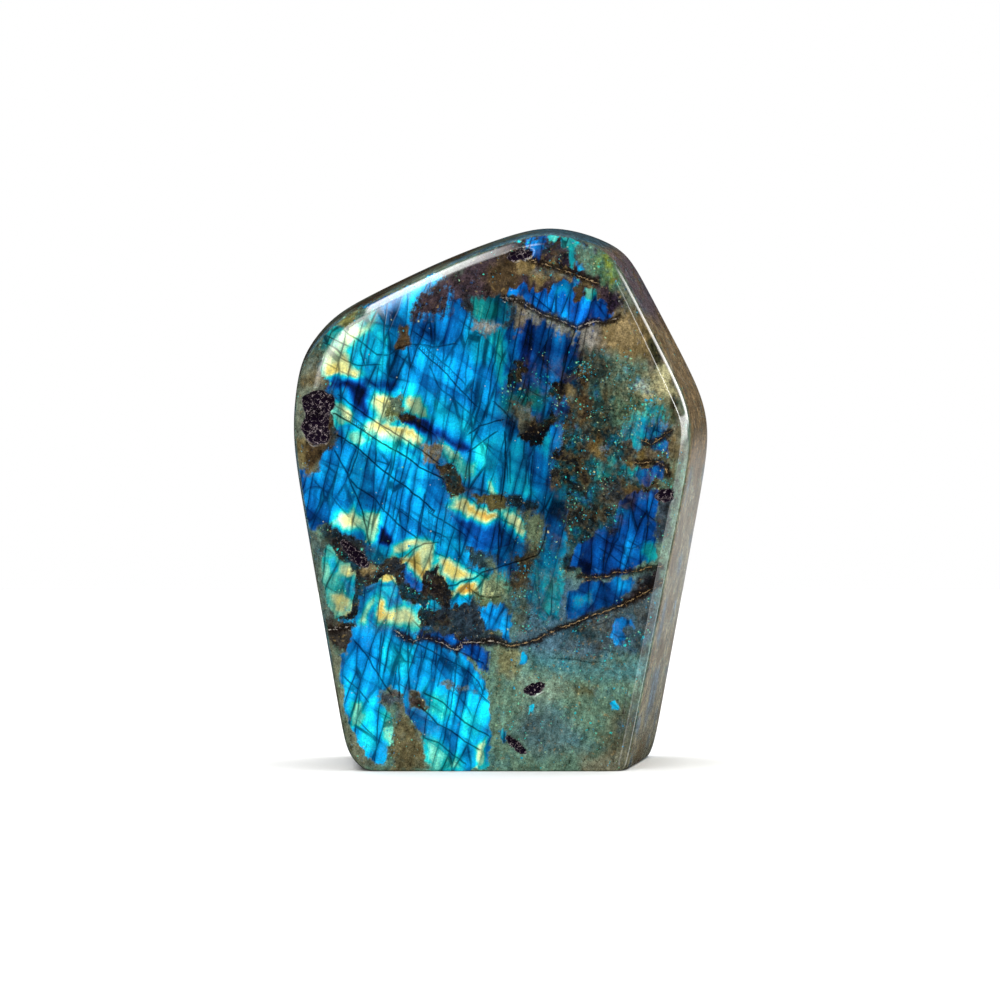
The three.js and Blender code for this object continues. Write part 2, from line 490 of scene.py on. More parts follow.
@dataclass(frozen=True)
class MapLayout:
    """Where the stone's regions lie on its map, which is one unit wide and high."""

    stone_middle: tuple[float, float] = (0.0, 60.5)
    front_scale: float = 0.0068      # map units in a millimetre of the front face
    back_scale: float = 0.0036       # and of the back face
    front_middle: tuple[float, float] = (0.325, 0.415)
    back_middle: tuple[float, float] = (0.825, 0.24)
    band_low: float = 0.855          # the strip of the rounded edge and the sides
    band_high: float = 0.99
    band_margin: float = 0.01
    fillet_share: float = 0.3

    def flat(self, places: Array, face: Face) -> Array:
        """Map places on a broad face: X and Z scaled about the stone's middle."""
        scale, middle = ((self.front_scale, self.front_middle) if face is Face.FRONT
                         else (self.back_scale, self.back_middle))
        return (places[..., [0, 2]] - self.stone_middle) * scale + middle

    def band(self, columns: int, rows: Array) -> Array:
        """Map a band round the stone: its columns run along the strip and its rows up it."""
        along = np.linspace(self.band_margin, 1 - self.band_margin, columns + 1)
        up = self.band_low + rows * (self.band_high - self.band_low)
        return np.stack(np.meshgrid(along, up, indexing="ij"), axis=-1)


@dataclass
class FineMesh:
    """The points, normals, faces and map of the stone's surface."""

    places: Array
    normals: Array
    faces: list[Array] = field(default_factory=list)   # each a table of corners, one face a row
    maps: list[Array] = field(default_factory=list)    # the map's place of each of those corners

    def add_quads(self, ids: Array, mapped: Array) -> None:
        """Add the quads of a table of point numbers, with the map's place of each entry."""
        def corners(table: Array) -> Array:
            return np.stack((table[:-1, :-1], table[1:, :-1], table[1:, 1:], table[:-1, 1:]), axis=2)

        self.faces.append(corners(ids).reshape(-1, 4))
        self.maps.append(corners(mapped).reshape(-1, 4, 2))

    def add_narrowing(self, many: Array, many_map: Array, few: Array, few_map: Array) -> None:
        """Join a row of points to one with a third as many, by four triangles to each of its steps."""
        step = (len(many) - 1) // (len(few) - 1)
        starts = np.arange(len(few) - 1)
        a, b = step * starts, len(many) + starts
        triangles = np.array(((a, a + 1, b), (a + 1, b + 1, b),
                              (a + 1, a + 2, b + 1), (a + 2, a + 3, b + 1)))
        corners = triangles.transpose(2, 0, 1).reshape(-1, 3)
        self.faces.append(np.concatenate((many, few))[corners])
        self.maps.append(np.concatenate((many_map, few_map))[corners])


# Lamella levels: the finer the layers inside the feldspar, the bluer the light that they throw back.
NAVY, ROYAL, BLUE, AZURE, SKY, CYAN = 0.04, 0.17, 0.27, 0.38, 0.48, 0.58
TURQUOISE, PALE_YELLOW, YELLOW = 0.68, 0.87, 0.93

# Ground colours of the matrix, where no lamellae face the light.
OLIVE, GREEN_GREY, SLATE, TEAL_GREY = "#6B7362", "#678873", "#4F7080", "#54898A"
DARK_TEAL, BROWN, GOLD_BROWN, OCHRE = "#173E48", "#54442F", "#7B6A46", "#A58B54"
PURPLE, PLUM, INK, CRUMB = "#43363C", "#2C2233", "#0B0D14", "#8F8C84"
GREY_BROWN, DARK_BROWN, DARK_OLIVE, DARK_SLATE = "#6F6654", "#33291F", "#3A3A26", "#2C3944"


def points(run: str) -> Array:
    """The places in a run such as "-40,94 -39.5,98": one row each, with X and Z in millimetres."""
    return np.array([place.split(",") for place in run.split()], float)


def outline_distance(x: Array, z: Array, run: str) -> Array:
    """How far places lie from the nearest edge of a closed outline, below zero outside it.

    Args:
        x: The places' X.
        z: The places' Z.
        run: The outline's corners.

    Returns:
        One distance for each place.
    """
    corners = points(run)
    inside = np.zeros(x.shape, bool)
    nearest = np.full(x.shape, np.inf)
    for (ax, az), (bx, bz) in zip(corners, np.roll(corners, -1, axis=0)):
        ex, ez = bx - ax, bz - az
        share = np.clip(((x - ax) * ex + (z - az) * ez) / (ex * ex + ez * ez), 0, 1)
        nearest = np.minimum(nearest, (x - ax - share * ex) ** 2 + (z - az - share * ez) ** 2)
        if ez:
            inside ^= ((az > z) != (bz > z)) & (x < ax + (z - az) / ez * ex)
    return np.where(inside, 1, -1) * np.sqrt(nearest)


@dataclass
class Ground:
    """A patch of the dark matrix: its colour, its outline on the face and how soft its edge is.

    cover is how far it hides the flash, and tint how far it replaces the ground colour.
    """

    colour: str
    run: str
    soft: float = 0.7
    cover: float = 1.0
    tint: float = 1.0

    def lay(self, paint: "Paint", inward: Array) -> None:
        """Lay the patch over what is painted, given how far inside it each point lies."""
        over = smooth(inward + paint.ragged, -1.3 * self.soft, 1.3 * self.soft) * paint.front
        paint.ground += (linear(self.colour) - paint.ground) * (over * self.tint)[:, None]
        paint.flash *= 1 - over * self.cover


@dataclass
class Flash:
    """A patch that flashes: its lamella level, how bright it is, its outline on the face, how soft its
    edge is and how much of the ground it hides."""

    level: float
    shade: float
    run: str
    soft: float = 0.7
    strength: float = 1.0

    @property
    def fringe(self) -> float:
        """How far in from the edge the level still changes, which draws a fringe of the colours between:
        a quarter of the patch's width, at most 2.2 mm."""
        x, z = points(self.run).T
        area = abs((x * np.roll(z, -1) - z * np.roll(x, -1)).sum()) / 2
        return min(0.25 * math.sqrt(area), 2.2)

    def lay(self, paint: "Paint", inward: Array) -> None:
        """Lay the patch over what is painted, given how far inside it each point lies."""
        over = smooth(inward + 0.5 * paint.ragged, -1.4 * self.soft, 1.4 * self.soft) * paint.front
        deep = smooth(inward, -0.6 * self.fringe, self.fringe) * paint.front
        bare = (over > 0) * (1 - paint.flash)
        share = deep + (1 - deep) * bare
        paint.level += (self.level - paint.level) * share
        paint.shade += (self.shade - paint.shade) * np.maximum(over, bare)
        paint.flash += (self.strength - paint.flash) * over


@dataclass
class Sparkle:
    """A patch of small crystals that each catch the light alone: how many show, and its outline."""

    amount: float
    run: str
    soft: float = 3.0

    def lay(self, paint: "Paint", inward: Array) -> None:
        """Lay the patch over what is painted, given how far inside it each point lies."""
        over = smooth(inward, -self.soft / 2, self.soft / 2) * paint.front
        paint.sparkle += (self.amount - paint.sparkle) * over


# The markings on the face, in the order that they are laid, each over the last.
MARKINGS: tuple[Ground | Flash, ...] = (
    # the ground colour of the face, from the top down
    Ground(PURPLE, "-24,104 -10,112 0,118 12,123 26,119 33,104 22,99 0,104 -12,99", 1.5),
    Ground("#4A5A4C", "-47,86 -44,96 -38,102 -30,108 -14,115 -2,119 -2,116 -12,112 -20,108 -30,102 -38,94 "
           "-42,86", 1.0),
    Flash(0.66, 0.55, "-40,94 -39.5,98 -36,99.5 -35.5,97 -38,94.5", 0.8),
    Ground("#7F8048", "-37,99 -34,103 -31.5,103 -32.5,100.5 -35,98.5", 0.8),
    Flash(0.40, 0.55, "-31,102.6 -29,106 -25,107 -25,104.8 -28,103", 0.8),
    Ground(GREY_BROWN, "18,100 35,104 40,90 41,70 30,66 18,70 12,84", 2.0),
    Ground(OLIVE, "-48,92 -38,92 -36,70 -42,60 -48,60", 1.0),
    Ground(DARK_TEAL, "0,92 20,92 30,70 34,48 16,48 0,62", 2.0),
    Ground(SLATE, "6,42 34,44 36,30 10,20 2,30", 2.0),
    Ground(TEAL_GREY, "0,27 12,25.5 24,24 34,27 32,20 24,18 10,20 0,20", 1.5),
    Ground(GREEN_GREY, "-1,28 10,22 32,19 31,8 24,0 -3,-2 -4,12", 1.5),
    Ground("#8FAA94", "4,21 14,21.4 16,17.4 10,15.6 5,16", 1.5, tint=0.85),
    Ground(SLATE, "5,14 12,15 16,10 20,5 8,3 3,8", 2.0, tint=0.6),
    Ground(BROWN, "24,12 29,16 33,8 30,-2 19,-2 22,4", 2.0, tint=0.7),
    # the blue that fills the gaps between the patches of the left-hand side, and the dark behind it
    Ground("#1B2A33", "-40,90 -30,101 -16,106 0,104 14,98 18,88 15,72 13,60 12,48 4,34 -8,27 -38,31 -39,48 "
           "-42,62 -40,72", 1.5, tint=0.85),
    Flash(0.43, 0.72, "-40,89 -37,94 -28,101 -18,104 -8,101 1,99 1,88 0,76 1,64 1,54 0,40 -6,31 -20,31 "
          "-36,33 -38,56 -41,64 -37,72 -36,80", 1.5),
    Flash(0.34, 0.28, "0,99 14,97 19,92 16,84 13,76 12,64 9,54 6,46 0,38 -1,60 -1,84", 2.2, strength=0.9),
    # the crown: teal and blue flecks in purple brown, over a gold-brown ledge
    Flash(TURQUOISE, 0.72, "9,120.3 16,120.3 17.3,117 16.8,113 15.4,112.3 14.9,115 13.2,118.2 "
          "10,118.6", 0.5),
    Flash(BLUE, 0.9, "5.6,118 9.5,118.5 10.5,116 9,113.7 7,115 5.6,115.8", 0.4, strength=0.85),
    Ground(PLUM, "10.2,117.5 13.3,117.3 15.2,113.5 15.5,111 12.5,111.8 9.5,113.6", 0.6),
    Flash(CYAN, 0.95, "2,118 2.8,118.5 4.6,118.4 4.3,117.3 2.8,117", 0.25),
    Flash(SKY, 0.9, "17,118.8 18.4,118.4 18.2,117.2 17,117.3", 0.3),
    Flash(SKY, 0.95, "17,112.4 18.6,112.9 19,111.4 17.8,110.7 16.9,111.2", 0.3),
    Ground(GREEN_GREY, "17.5,116.5 20.5,116.5 21,111 19.4,110 17.6,113.5", 0.8),
    Ground("#578463", "20.3,114.2 22,115.9 24.3,115.8 26,112.5 27.6,108.5 26.5,105 24.5,107.3 "
           "22,108.3", 0.9),
    Ground("#8FA03A", "21.4,114.4 23.6,115.2 24.7,112.8 25.6,109.6 24.3,108.4 23,111.7", 0.8),
    Ground(OLIVE, "26.5,111 29,107 30.4,103.6 28,102.9 26,105 25.7,109", 0.8, cover=0.5),
    Ground(BROWN, "-1,114 3,115 5,111 3,106.5 -1,105.5 -4,109", 1.2),
    Ground(GOLD_BROWN, "2.2,113.3 4,114.5 7,114.4 8.6,112.7 10,110.7 11,109.2 9.5,108 7,108.5 4,110.5"),
    Ground(OCHRE, "5.4,115.1 7.4,114.2 8.5,112.8 7.7,112.3 6.4,113.6 5,114.3", 0.3),
    Ground(OCHRE, "3.4,113.8 5.4,113.7 5.6,112.9 4,112.5", 0.4),
    Ground(OCHRE, "7.6,111.2 8.8,111.4 9.6,109.3 8.4,108.9", 0.5, tint=0.8),
    Ground(GOLD_BROWN, "8.6,113.7 11.5,113.7 13,112 15,111.2 17.5,110.4 20.7,109 21,107.5 17,108.6 13,108.8 "
           "11,109.8", 0.6),
    Ground(OCHRE, "8.8,113.9 11.4,113.9 13,112.3 15,111.4 14.2,110.8 12.3,111.7 10.6,113", 0.3, tint=0.8),
    # the royal-blue lens below the ledge
    Flash(BLUE, 0.95, "0.3,105.2 2,107.2 5,107.9 8,106.9 11,107 13.5,108.6 17,110 18.6,108 18.5,105.8 "
          "21,104.6 23.8,104.4 25.2,102 25.2,100.2 21,99.8 18.5,99.4 16.5,98.2 13.4,99.8 10,101.2 6.5,102.7 "
          "3.5,104.6", 0.4),
    Flash(ROYAL, 0.9, "15,104.7 20,103.5 23,102.5 22,100 17,98.3 14.5,101", 1.2),
    Flash(0.5, 0.72, "11.2,105.4 12.3,107.6 14.5,108.6 16.5,110 17.6,108.4 15,105.6 13,104.9", 0.8),
    Flash(0.72, 0.62, "18.6,107.3 20.7,107.8 21,105 19,104.6", 0.8),
    Ground(BROWN, "16.6,107.3 18.4,109.2 18.6,106 17.9,104 16.4,104.8", 0.6),
    Ground(PLUM, "22.6,108 25,107.5 26.8,104 25.6,101.2 23.4,102.8 23.2,105", 0.8),
    # the ragged columns under the lens, which fade down into dark streaked blue
    Flash(0.24, 0.38, "-1,104 6,103 16,98 20.5,98 19.6,91 16.5,87.5 14.5,83.5 9,85 2,83 -2,84 1,94", 1.5),
    Ground(CRUMB, "3,105 7,103 10,101.5 16.6,98.6 19,99.4 22,100 21,93 17.8,93.4 16.6,96.8 14,96.6 10,98.6 "
           "7.3,99 5,98", 1.3, cover=0.72, tint=0.85),
    Ground(DARK_SLATE, "0.4,105.2 3,105 3.4,99 1,98", 0.8, cover=0.7),
    Ground(GREY_BROWN, "3,104.6 6,103.2 5,97 3.3,96.5", 0.8, cover=0.6),
    Flash(NAVY, 0.55, "4.6,98 7.5,98 7.6,92 6,89 4,91", 1.0),
    # the gold-brown mass at the right and the speckled grey green below it
    Ground(GOLD_BROWN, "22.6,99.6 26,101.2 29,102 31.5,100.5 34.5,98 34,93 31,91 27.6,90 24.6,92.5 "
           "22.3,95", 1.2),
    Ground("#93805A", "24.8,99.4 27.4,100.8 30,100.3 30.6,97 27,94 24.6,95", 1.4),
    Ground(GREEN_GREY, "20.6,92 25,92.5 32,90.5 34.6,87 31,84.5 26,83 20,84", 1.3, tint=0.8),
    Ground("#2F4A48", "18.8,94 22.5,93.6 24.5,90 22,86 19,86 17.5,89", 1.0),
    Ground(DARK_OLIVE, "31.8,97.6 34.4,97 39.5,82 38.5,77 37.2,80 36,85 33.6,91", 0.5),
    # painted reflection: olive gold in the stone, painted pale where the two lines of light along the narrow
    # flat lie near it
    Ground("#CAC494", "29,84.6 33,88 36.4,90 38.4,84 36.6,81 33,80.4 29.6,81.8", 1.2),
    Ground("#5C8066", "24,84 29,84 36.4,82.3 37.4,77 30,75.6 24.5,77.2", 1.4),
    Flash(0.66, 0.85, "29,79 33,81.8 36.6,81.5 37.3,77 36,74.5 31,72.2 27,73 26.4,77", 1.0, strength=0.62),
    Flash(0.3, 0.66, "31,77 35.5,77 37.2,75.4 36,73 34,72.4 32,74", 0.9, strength=0.8),
    Flash(0.52, 0.62, "28,76 31,77 33,74 31.5,71 28.6,72.4", 0.9, strength=0.8),
    Ground("#35483C", "19.8,87 23.6,84 24.3,76 20.4,74 19.4,79", 1.0, tint=0.85),
    Ground(GOLD_BROWN, "14.4,86.2 16.6,85.6 17,83.4 15,81.6 14.2,83.8", 0.5),
    Ground(BROWN, "16.8,90.5 19,89 19.6,84 20,78 17,75 14,74.4 13.8,76.5 15.6,80.5 17.2,84", 0.8),
    # black inclusions with dark teal around them
    Flash(0.66, 0.2, "0,84 6,85.5 10.6,84 10,80 7,78 3,77 0,79.5", 1.0, strength=0.9),
    Ground("#5B5E50", "2.6,82 6.6,81.5 7.4,78 6,75 4.4,75.5 3.4,78", 0.8, cover=0.8),
    Ground(INK, "11,86.4 14.4,86.4 14,83 13,80.5 11.4,82 10.6,84.4"),
    Ground(INK, "2.6,90.4 5,91.6 6,88.4 3.6,85.6 1.8,84.9 1,86.8 2.6,88"),
    Ground(INK, "4,74.6 6,77 9,79.6 12.6,80 13,77 11,74.8 10.4,72.4 8,70.4 4.6,71", 0.9),
    Flash(0.3, 0.42, "7,79.5 11,82 15.6,83 15.4,79.8 12,79.6 8.8,77.4", 0.8, strength=0.85),
    Flash(0.40, 0.85, "11.3,76.2 12.9,77.8 13.9,77.4 13.2,73.6 12.4,71 10.8,70.6", 0.5),
    Flash(0.62, 0.55, "8.6,71 10.4,74.4 11.6,74.4 11,70 9,69", 0.6),
    Ground("#14181C", "11,70 15,72 20,70 20,63 14,62 10.6,64", 1.8, tint=0.9),
    # the teal fan in the middle
    Flash(0.56, 0.5, "0.6,74 3,75 6,72.6 9,71.4 10.8,70 9.5,65.5 8,60.8 4,60.4 -0.4,60.6 0,67"),
    Flash(0.34, 0.45, "6,72 9.4,71 11.2,68 9.4,62 7,63 5.6,67", 0.9),
    Flash(0.6, 0.92, "-6.6,71.6 -3,74.6 0.2,76.8 1.3,76 1,70 0.2,66 -0.4,61 -1.3,59.4 -3,62 -4.6,68", 0.6),
    Flash(0.82, 0.85, "-3.3,64.5 -2.2,64.4 -1,60.6 -2,59.6 -3.2,62", 0.6),
    Ground("#15303C", "0.4,61.2 6.4,61.2 8,60 8,58.6 5,57.8 0.5,58", 0.8, cover=0.7),
    # the azure field at the upper left and its cyan and pale yellow neighbours
    Flash(0.40, 0.95, "-21,103 -14,108.5 -10.5,107.4 -8,100 -6.6,94 -1.2,86.6 -2.4,84.4 -5.6,79.6 -12,83 "
          "-16,84.6 -21.2,84.6 -22,90 -21,96", 0.6),
    Flash(0.28, 0.56, "-19.6,101 -15,100.4 -13,104 -11.4,106 -9.4,106 -8.8,99 -9.2,95.4 -14,95.2 "
          "-19.6,95.6", 0.9),
    Flash(0.43, 1.08, "-18,89 -13,88.4 -8.2,88.6 -3,88.8 -1.2,86 -3,82.6 -8,83.6 -14,84.4", 0.8),
    Flash(0.56, 0.98, "-16,83.4 -12,83 -6,80 -4.6,78 -6.4,72.6 -11,75.6 -15.6,79"),
    Flash(0.46, 1.25, "-6.6,88.4 -3,88.8 -1.2,86 -3,83.4 -6.6,84.4", 0.8),
    Flash(0.55, 0.78, "-8.6,94.6 -6,99.2 -2.4,99.6 0.3,98 1.3,92 -1.6,90 -6.4,90.6"),
    Flash(0.66, 0.5, "-1.8,98 0.6,98.4 1.6,90 0.8,84.6 -1.4,86 -1.4,92", 0.6),
    Flash(0.6, 0.24, "-7,105 1.4,105.2 1.2,100 -2.4,100 -6,101", 0.9),
    Ground(CRUMB, "-6,100.6 -3,100.8 -1.6,99.4 0.2,99 -0.6,97.4 -3.4,96.6 -6,98", cover=0.6, tint=0.9),
    Ground(PURPLE, "-21,105 -17,108 -12,109.4 -9.6,107.6 -12,103.4 -14.6,100 -19.6,101", 2.2, cover=0.92),
    Flash(0.48, 1.25, "-27.5,102.4 -24,105.6 -19,108.6 -13,111.2 -13,109.4 -17,106.6 -20.5,102.6 "
          "-24.5,100", 0.8),
    Flash(0.58, 0.95, "-37,93.6 -34,96.6 -30,100.4 -26.4,102.6 -24.2,100 -24.8,92 -25.6,87.6 -29,86.6 "
          "-31.4,88.6 -34,91.6", 0.6),
    Flash(0.36, 0.42, "-25,102.4 -22,103 -21.6,98 -22.4,90 -22,85 -24.4,85 -25.4,88 -24.4,93"),
    Ground("#57452F", "-23,99 -21.2,99.2 -20,96.6 -20.2,94.8 -23.2,94 -22.6,96.6", 0.5),
    Flash(PALE_YELLOW, 1.0, "-40.6,88.2 -39.4,92.6 -36.6,95.4 -33.6,98 -31,99.6 -30,98 -33,95.4 -34.8,92.6 "
          "-33.6,90.6 -31,89.4 -29.8,87.4 -32.6,87.4 -37,88.2 -39,87.2"),
    # painted highlight: the flash inside the upper left's rounded edge, painted paler and brighter under the
    # haze of the arc's light
    Flash(0.845, 1.1, "-39,90.4 -37.6,93.4 -34.4,96.8 -29.6,100.4 -27,101.4 -27.8,98.6 -30.2,97 -32.8,94.2 "
          "-34.8,92 -36.6,90", 0.8),
    Flash(YELLOW, 0.9, "-39,90 -36,90.6 -35.4,88.8 -38.8,87.8"),
    Flash(0.87, 0.66, "-35.8,92.6 -34.4,92.6 -33.2,90 -31.6,89 -31.8,87.5 -35.8,88.2", 0.5),
    Flash(NAVY, 0.7, "-38.2,86.2 -35.8,86.8 -32.8,87 -30.4,85.6 -29.3,82.4 -29.3,79.6 -30.7,78.9 -32.4,81.4 "
          "-35,84.8 -38.4,86", 0.6),
    Flash(0.2, 0.42, "-31,86.6 -27,86.3 -23.4,87 -22,85 -25,84.8 -29,85.4"),
    Flash(0.87, 0.98, "-36.6,82.2 -35.4,82.5 -32.3,80 -32.8,77 -34,77.6 -36.6,79.6", 0.6),
    Flash(0.87, 0.98, "-29.5,82.4 -28.2,84.4 -25,84 -22.8,82.4 -22.4,78.4 -25,77.4 -27.4,78 -29,80.4"),
    Ground("#566A58", "-25,84 -22,83.6 -21.4,80 -22.6,78.3 -24.6,79.4", 0.5, cover=0.8),
    Ground("#6F7A4C", "-25.2,80.6 -22.6,79.6 -22.4,77.4 -25.8,77", 0.5, cover=0.6),
    Flash(0.8, 0.3, "-21.6,82.6 -19,83.4 -17.5,82.4 -15.5,78.4 -17,77.8 -20,79 -21.4,80.4"),
    Ground(DARK_BROWN, "-22.6,79.4 -20,79.3 -17,77.9 -16.5,76.7 -19,77 -22.6,77", 0.4),
    Flash(0.60, 1.15, "-37,79.4 -33.4,77.2 -31,78.6 -28,79 -26,76 -20,71.6 -16.4,72.4 -15.6,70 -20,67.6 "
          "-25,70 -29.6,72 -34,74.6 -36.6,76.8", 0.6),
    Flash(0.82, 0.95, "-37.6,80 -35,79.4 -34,77.4 -36.4,76.6", 0.6),
    Flash(0.76, 1.1, "-34.6,75.6 -31.6,75.6 -29.6,73.8 -31,71.6 -34.4,72.6", 0.6),
    Flash(0.89, 1.15, "-30.4,77.3 -28,78.9 -24,77.2 -21,77 -18,76 -16.4,74 -17.4,71.8 -20,71.8 -24,73 "
          "-27,74.2 -30,75.4", 0.6),
    Flash(0.94, 0.98, "-28,77.4 -24.4,76.6 -20.6,76.4 -18.4,75 -18.6,73.8 -22,74.8 -26,76", 0.6),
    Flash(NAVY, 0.75, "-21,77.6 -17,78 -14,76.2 -11,74 -7,72.4 -6.6,70.8 -9.4,70.6 -13.6,72.8 -17,75.6 "
          "-20.4,76.8", 0.5),
    Ground("#7C7058", "-18.4,72.6 -14.4,73.6 -12,71.8 -12.6,68.2 -17.4,68.2", 0.8, cover=0.75),
    Flash(0.82, 0.6, "-13.2,74 -9.6,71 -8.4,68 -9.4,66 -12,69", 0.8, strength=0.8),
    Flash(0.66, 0.5, "-12.4,70.4 -10.4,69.6 -7.6,69 -5,68.4 -5.6,65.8 -8,64.2 -10.6,66.6"),
    Ground(DARK_BROWN, "-14.4,68 -12,68.4 -9,65 -7.6,63 -8,61 -11,60.4 -13.2,62.6", 0.6),
    # the left flank of the face, down to the dark seam
    Flash(0.42, 0.92, "-39.6,71.8 -36,72.8 -34,73.4 -32.6,70 -33.6,66 -38,65 -40.4,68", 0.6),
    Flash(0.33, 0.7, "-47,67 -42.6,67.4 -40,62 -38,56 -41.4,53 -46,54", 0.8),
    Flash(0.38, 0.86, "-43,66.6 -38,65.6 -33.6,66 -32.6,60 -33.4,57.6 -38,56 -41.6,57"),
    Flash(0.42, 0.5, "-33.4,70 -30,71.4 -27.6,70 -28,63 -31,58.6 -33.6,60", 0.8),
    Flash(0.41, 0.92, "-28.4,70 -24,70.6 -20,68.4 -15,68 -13,64.6 -11.6,60 -15,52 -20,51 -27.6,51 "
          "-28.6,58", 0.6),
    Flash(0.46, 1.0, "-21.6,68 -17.4,67 -16.6,62 -18.4,60 -21.6,62"),
    Flash(0.48, 0.95, "-17.8,58 -13.8,58.6 -13,51.6 -17,51.6", 0.8),
    Flash(0.87, 0.95, "-37.6,55.4 -35.6,58.2 -32.6,59.2 -31,57.4 -28,57.4 -27.2,55.4 -28,51 -30,50.4 "
          "-31,52.8 -35,53.2"),
    Flash(0.82, 1.0, "-31,58.4 -26.6,57.8 -26.2,54 -28,51.4 -30.4,51"),
    Flash(NAVY, 0.75, "-26.6,54.4 -25.4,54 -24.4,51 -26.2,50 -27.2,51", 0.6),
    Ground("#202A33", "-41,54.6 -36,54 -33.6,52.4 -30,50.4 -27,48.6 -24,47.6 -21,47.6 -20.6,43 -18,40.6 "
           "-13,43 -11,40 -10.6,33 -13,31.6 -18,32 -18.6,37 -22.6,38.4 -24,43 -28,42 -31,40 -32.6,34 -38,34 "
           "-38,50"),
    Ground("#4F5D5C", "-47,54 -41.4,53.4 -38.4,50 -40,44 -38,33 -45,30", tint=0.8),
    Flash(0.55, 0.75, "-27.4,50.8 -24.8,50.6 -24.6,47.6 -27,46.4 -28,48", 0.5),
    Flash(0.5, 0.4, "-31,50 -28,50 -27.6,46.6 -30,46.4", 0.6, strength=0.8),
    Ground(GOLD_BROWN, "-31.6,46.2 -29,46.4 -27.8,45 -28.4,43.4 -31,43.8", 0.4),
    Flash(0.87, 0.7, "-24.8,50.6 -21.4,51.8 -18.4,52 -14,51.2 -15,50 -19.4,49.3 -21.6,48 -24,47.8", 0.6),
    Flash(0.98, 0.84, "-21.8,46.4 -19.6,49.2 -17,50.6 -14.6,50.8 -14.8,46 -15.8,43.8 -17,41.8 "
          "-19.2,43.4", 0.5),
    Flash(0.88, 0.88, "-18.2,49.4 -14.8,50.4 -15,45.4 -17.8,44.8"),
    Ground("#221F24", "-17,44.4 -14,46 -12.6,42 -14,38.6 -18,39.6 -17.4,42"),
    Flash(0.22, 0.85, "-21.4,45.4 -19.2,43 -17.4,41.6 -18,40.4 -20.8,41.2", 0.5),
    Flash(0.92, 0.98, "-26.8,43 -25.2,44.1 -23.9,43.6 -23.3,42 -26.6,41.6", 0.4),
    Flash(0.54, 1.0, "-27.8,41.4 -23.3,41.5 -23.2,38.8 -24.8,37.2 -26,39.4 -28.6,39.4", 0.5),
    Flash(0.72, 0.8, "-39.6,49.4 -38.6,50.6 -36,47.6 -33.6,46 -32.4,42.8 -33.4,38 -34,35.6 -37,33.8 -39,37 "
          "-39.8,43", 0.6, strength=0.9),
    Flash(0.54, 0.85, "-38.6,47 -36.6,47.2 -35.8,45 -37.6,43.8", 0.5),
    Flash(0.86, 0.9, "-35.6,46 -34,46.2 -32.4,43.8 -34,42.6 -35.4,44", 0.5),
    Flash(0.55, 0.8, "-35.8,43 -33,42.6 -32.6,40 -33.6,37.6 -35.2,39.8", 0.6),
    Flash(0.91, 0.92, "-38,39 -35.6,39.6 -33.8,37.6 -34.8,35.2 -36.8,35.2", 0.6),
    Flash(0.78, 1.0, "-28.8,39.4 -27.8,39.2 -29.2,34.6 -30,32.6 -31.8,32.8 -30.6,36.8", 0.5),
    Flash(0.88, 0.95, "-27.6,39.6 -26,39.2 -25.2,36.4 -23.4,37 -21.6,37.4 -20,36.6 -18.5,34 -18,32.6 "
          "-20,31.4 -24,32 -27.4,32.4 -28.2,35", 0.6),
    Flash(0.95, 0.95, "-27.4,38.8 -26.2,38.6 -25.8,35 -26,33.2 -27.4,33.2", 0.5),
    Flash(0.56, 0.95, "-16.8,37.4 -14,37.6 -13.4,36 -15,35.4 -16.8,36.2", 0.4),
    # the gold seams in the middle
    Flash(0.93, 0.72, "-14.4,47.8 -12.6,48.2 -9.4,46.8 -6.4,44.6 -4.6,43 -8,42.4 -11,42 -13.8,44"),
    Flash(0.97, 0.9, "-10.8,41.4 -8,42.2 -5,42.2 -4.6,39 -8,38.4 -10.6,39.4", 0.8),
    Flash(0.5, 0.85, "-13,54 -9,52 -7.6,49 -8,47.4 -11,48.6 -13.6,49.4", 0.8),
    Flash(0.25, 0.9, "-11.4,57.4 -9,57.4 -6,56 -3.6,55 -0.4,55.6 -0.6,51 -3,48 -6,48 -8,51", 0.8),
    Flash(0.91, 0.92, "-12.4,59.2 -10,61 -7.6,61.2 -4.6,59.6 -0.6,58 0,55.8 -4,54.4 -6.4,55.4 -9,56.6"),
    Flash(0.985, 0.98, "-8.8,60.1 -7.4,60.3 -4.8,58 -1,57.2 -0.4,56.2 -3.6,55.9 -6,57.4", 0.5),
    Ground("#5A5230", "-7,62.4 -3.4,61.6 0.6,61.2 1.6,57.4 -2,58.2 -5,59.6", 0.6),
    Flash(0.86, 0.62, "-0.1,57.4 3,58.2 5.2,56 5.8,53.6 5,51.4 2.8,52.8 0.6,54.8", 0.6, strength=0.9),
    Ground("#66765A", "4.6,57.4 9,57.2 9.8,53 8,49 5.4,51", 1.0, cover=0.8),
    Ground("#2E4850", "-8,50 -4,49 -1,48.4 -1.4,45.6 -4,44 -6,44.4 -7.4,46.6", 0.8, cover=0.85),
    Flash(0.86, 0.48, "-4.6,43.4 -1,44.6 1,43 2.6,41 2,37.6 -2,37 -5.4,38", 1.0),
    Ground("#5C6E4E", "-6.4,39.6 -1,39.2 2.4,37.6 1,36.4 -5,36.2", cover=0.75),
    Ground("#748462", "-2,46.6 -1.4,47 0.6,43 2.6,38 1,37.6 -3.6,40.6", 0.8, cover=0.6, tint=0.7),
    Ground("#453726", "1.2,42.6 3.2,44 6.6,45.4 6.6,43.4 4,39.4 2.6,40.4", 0.8, cover=0.9),
    Ground("#3E3726", "2.4,47.6 6,48.4 8,50.6 8.8,50 7,46.6 4,45", 0.6, cover=0.9, tint=0.8),
    # streaky teal to the right of the middle
    Flash(0.5, 0.36, "8.6,62 14,63 15.4,58 14,54 15.4,50 13.4,45 14,38 12.6,34.6 9,34 6.2,38 7,44 8.6,48 "
          "10.2,54", 1.0, strength=0.85),
    Flash(0.6, 0.5, "7,44 11,46 13,42 12,36 8,34 5,38", 1.2, strength=0.7),
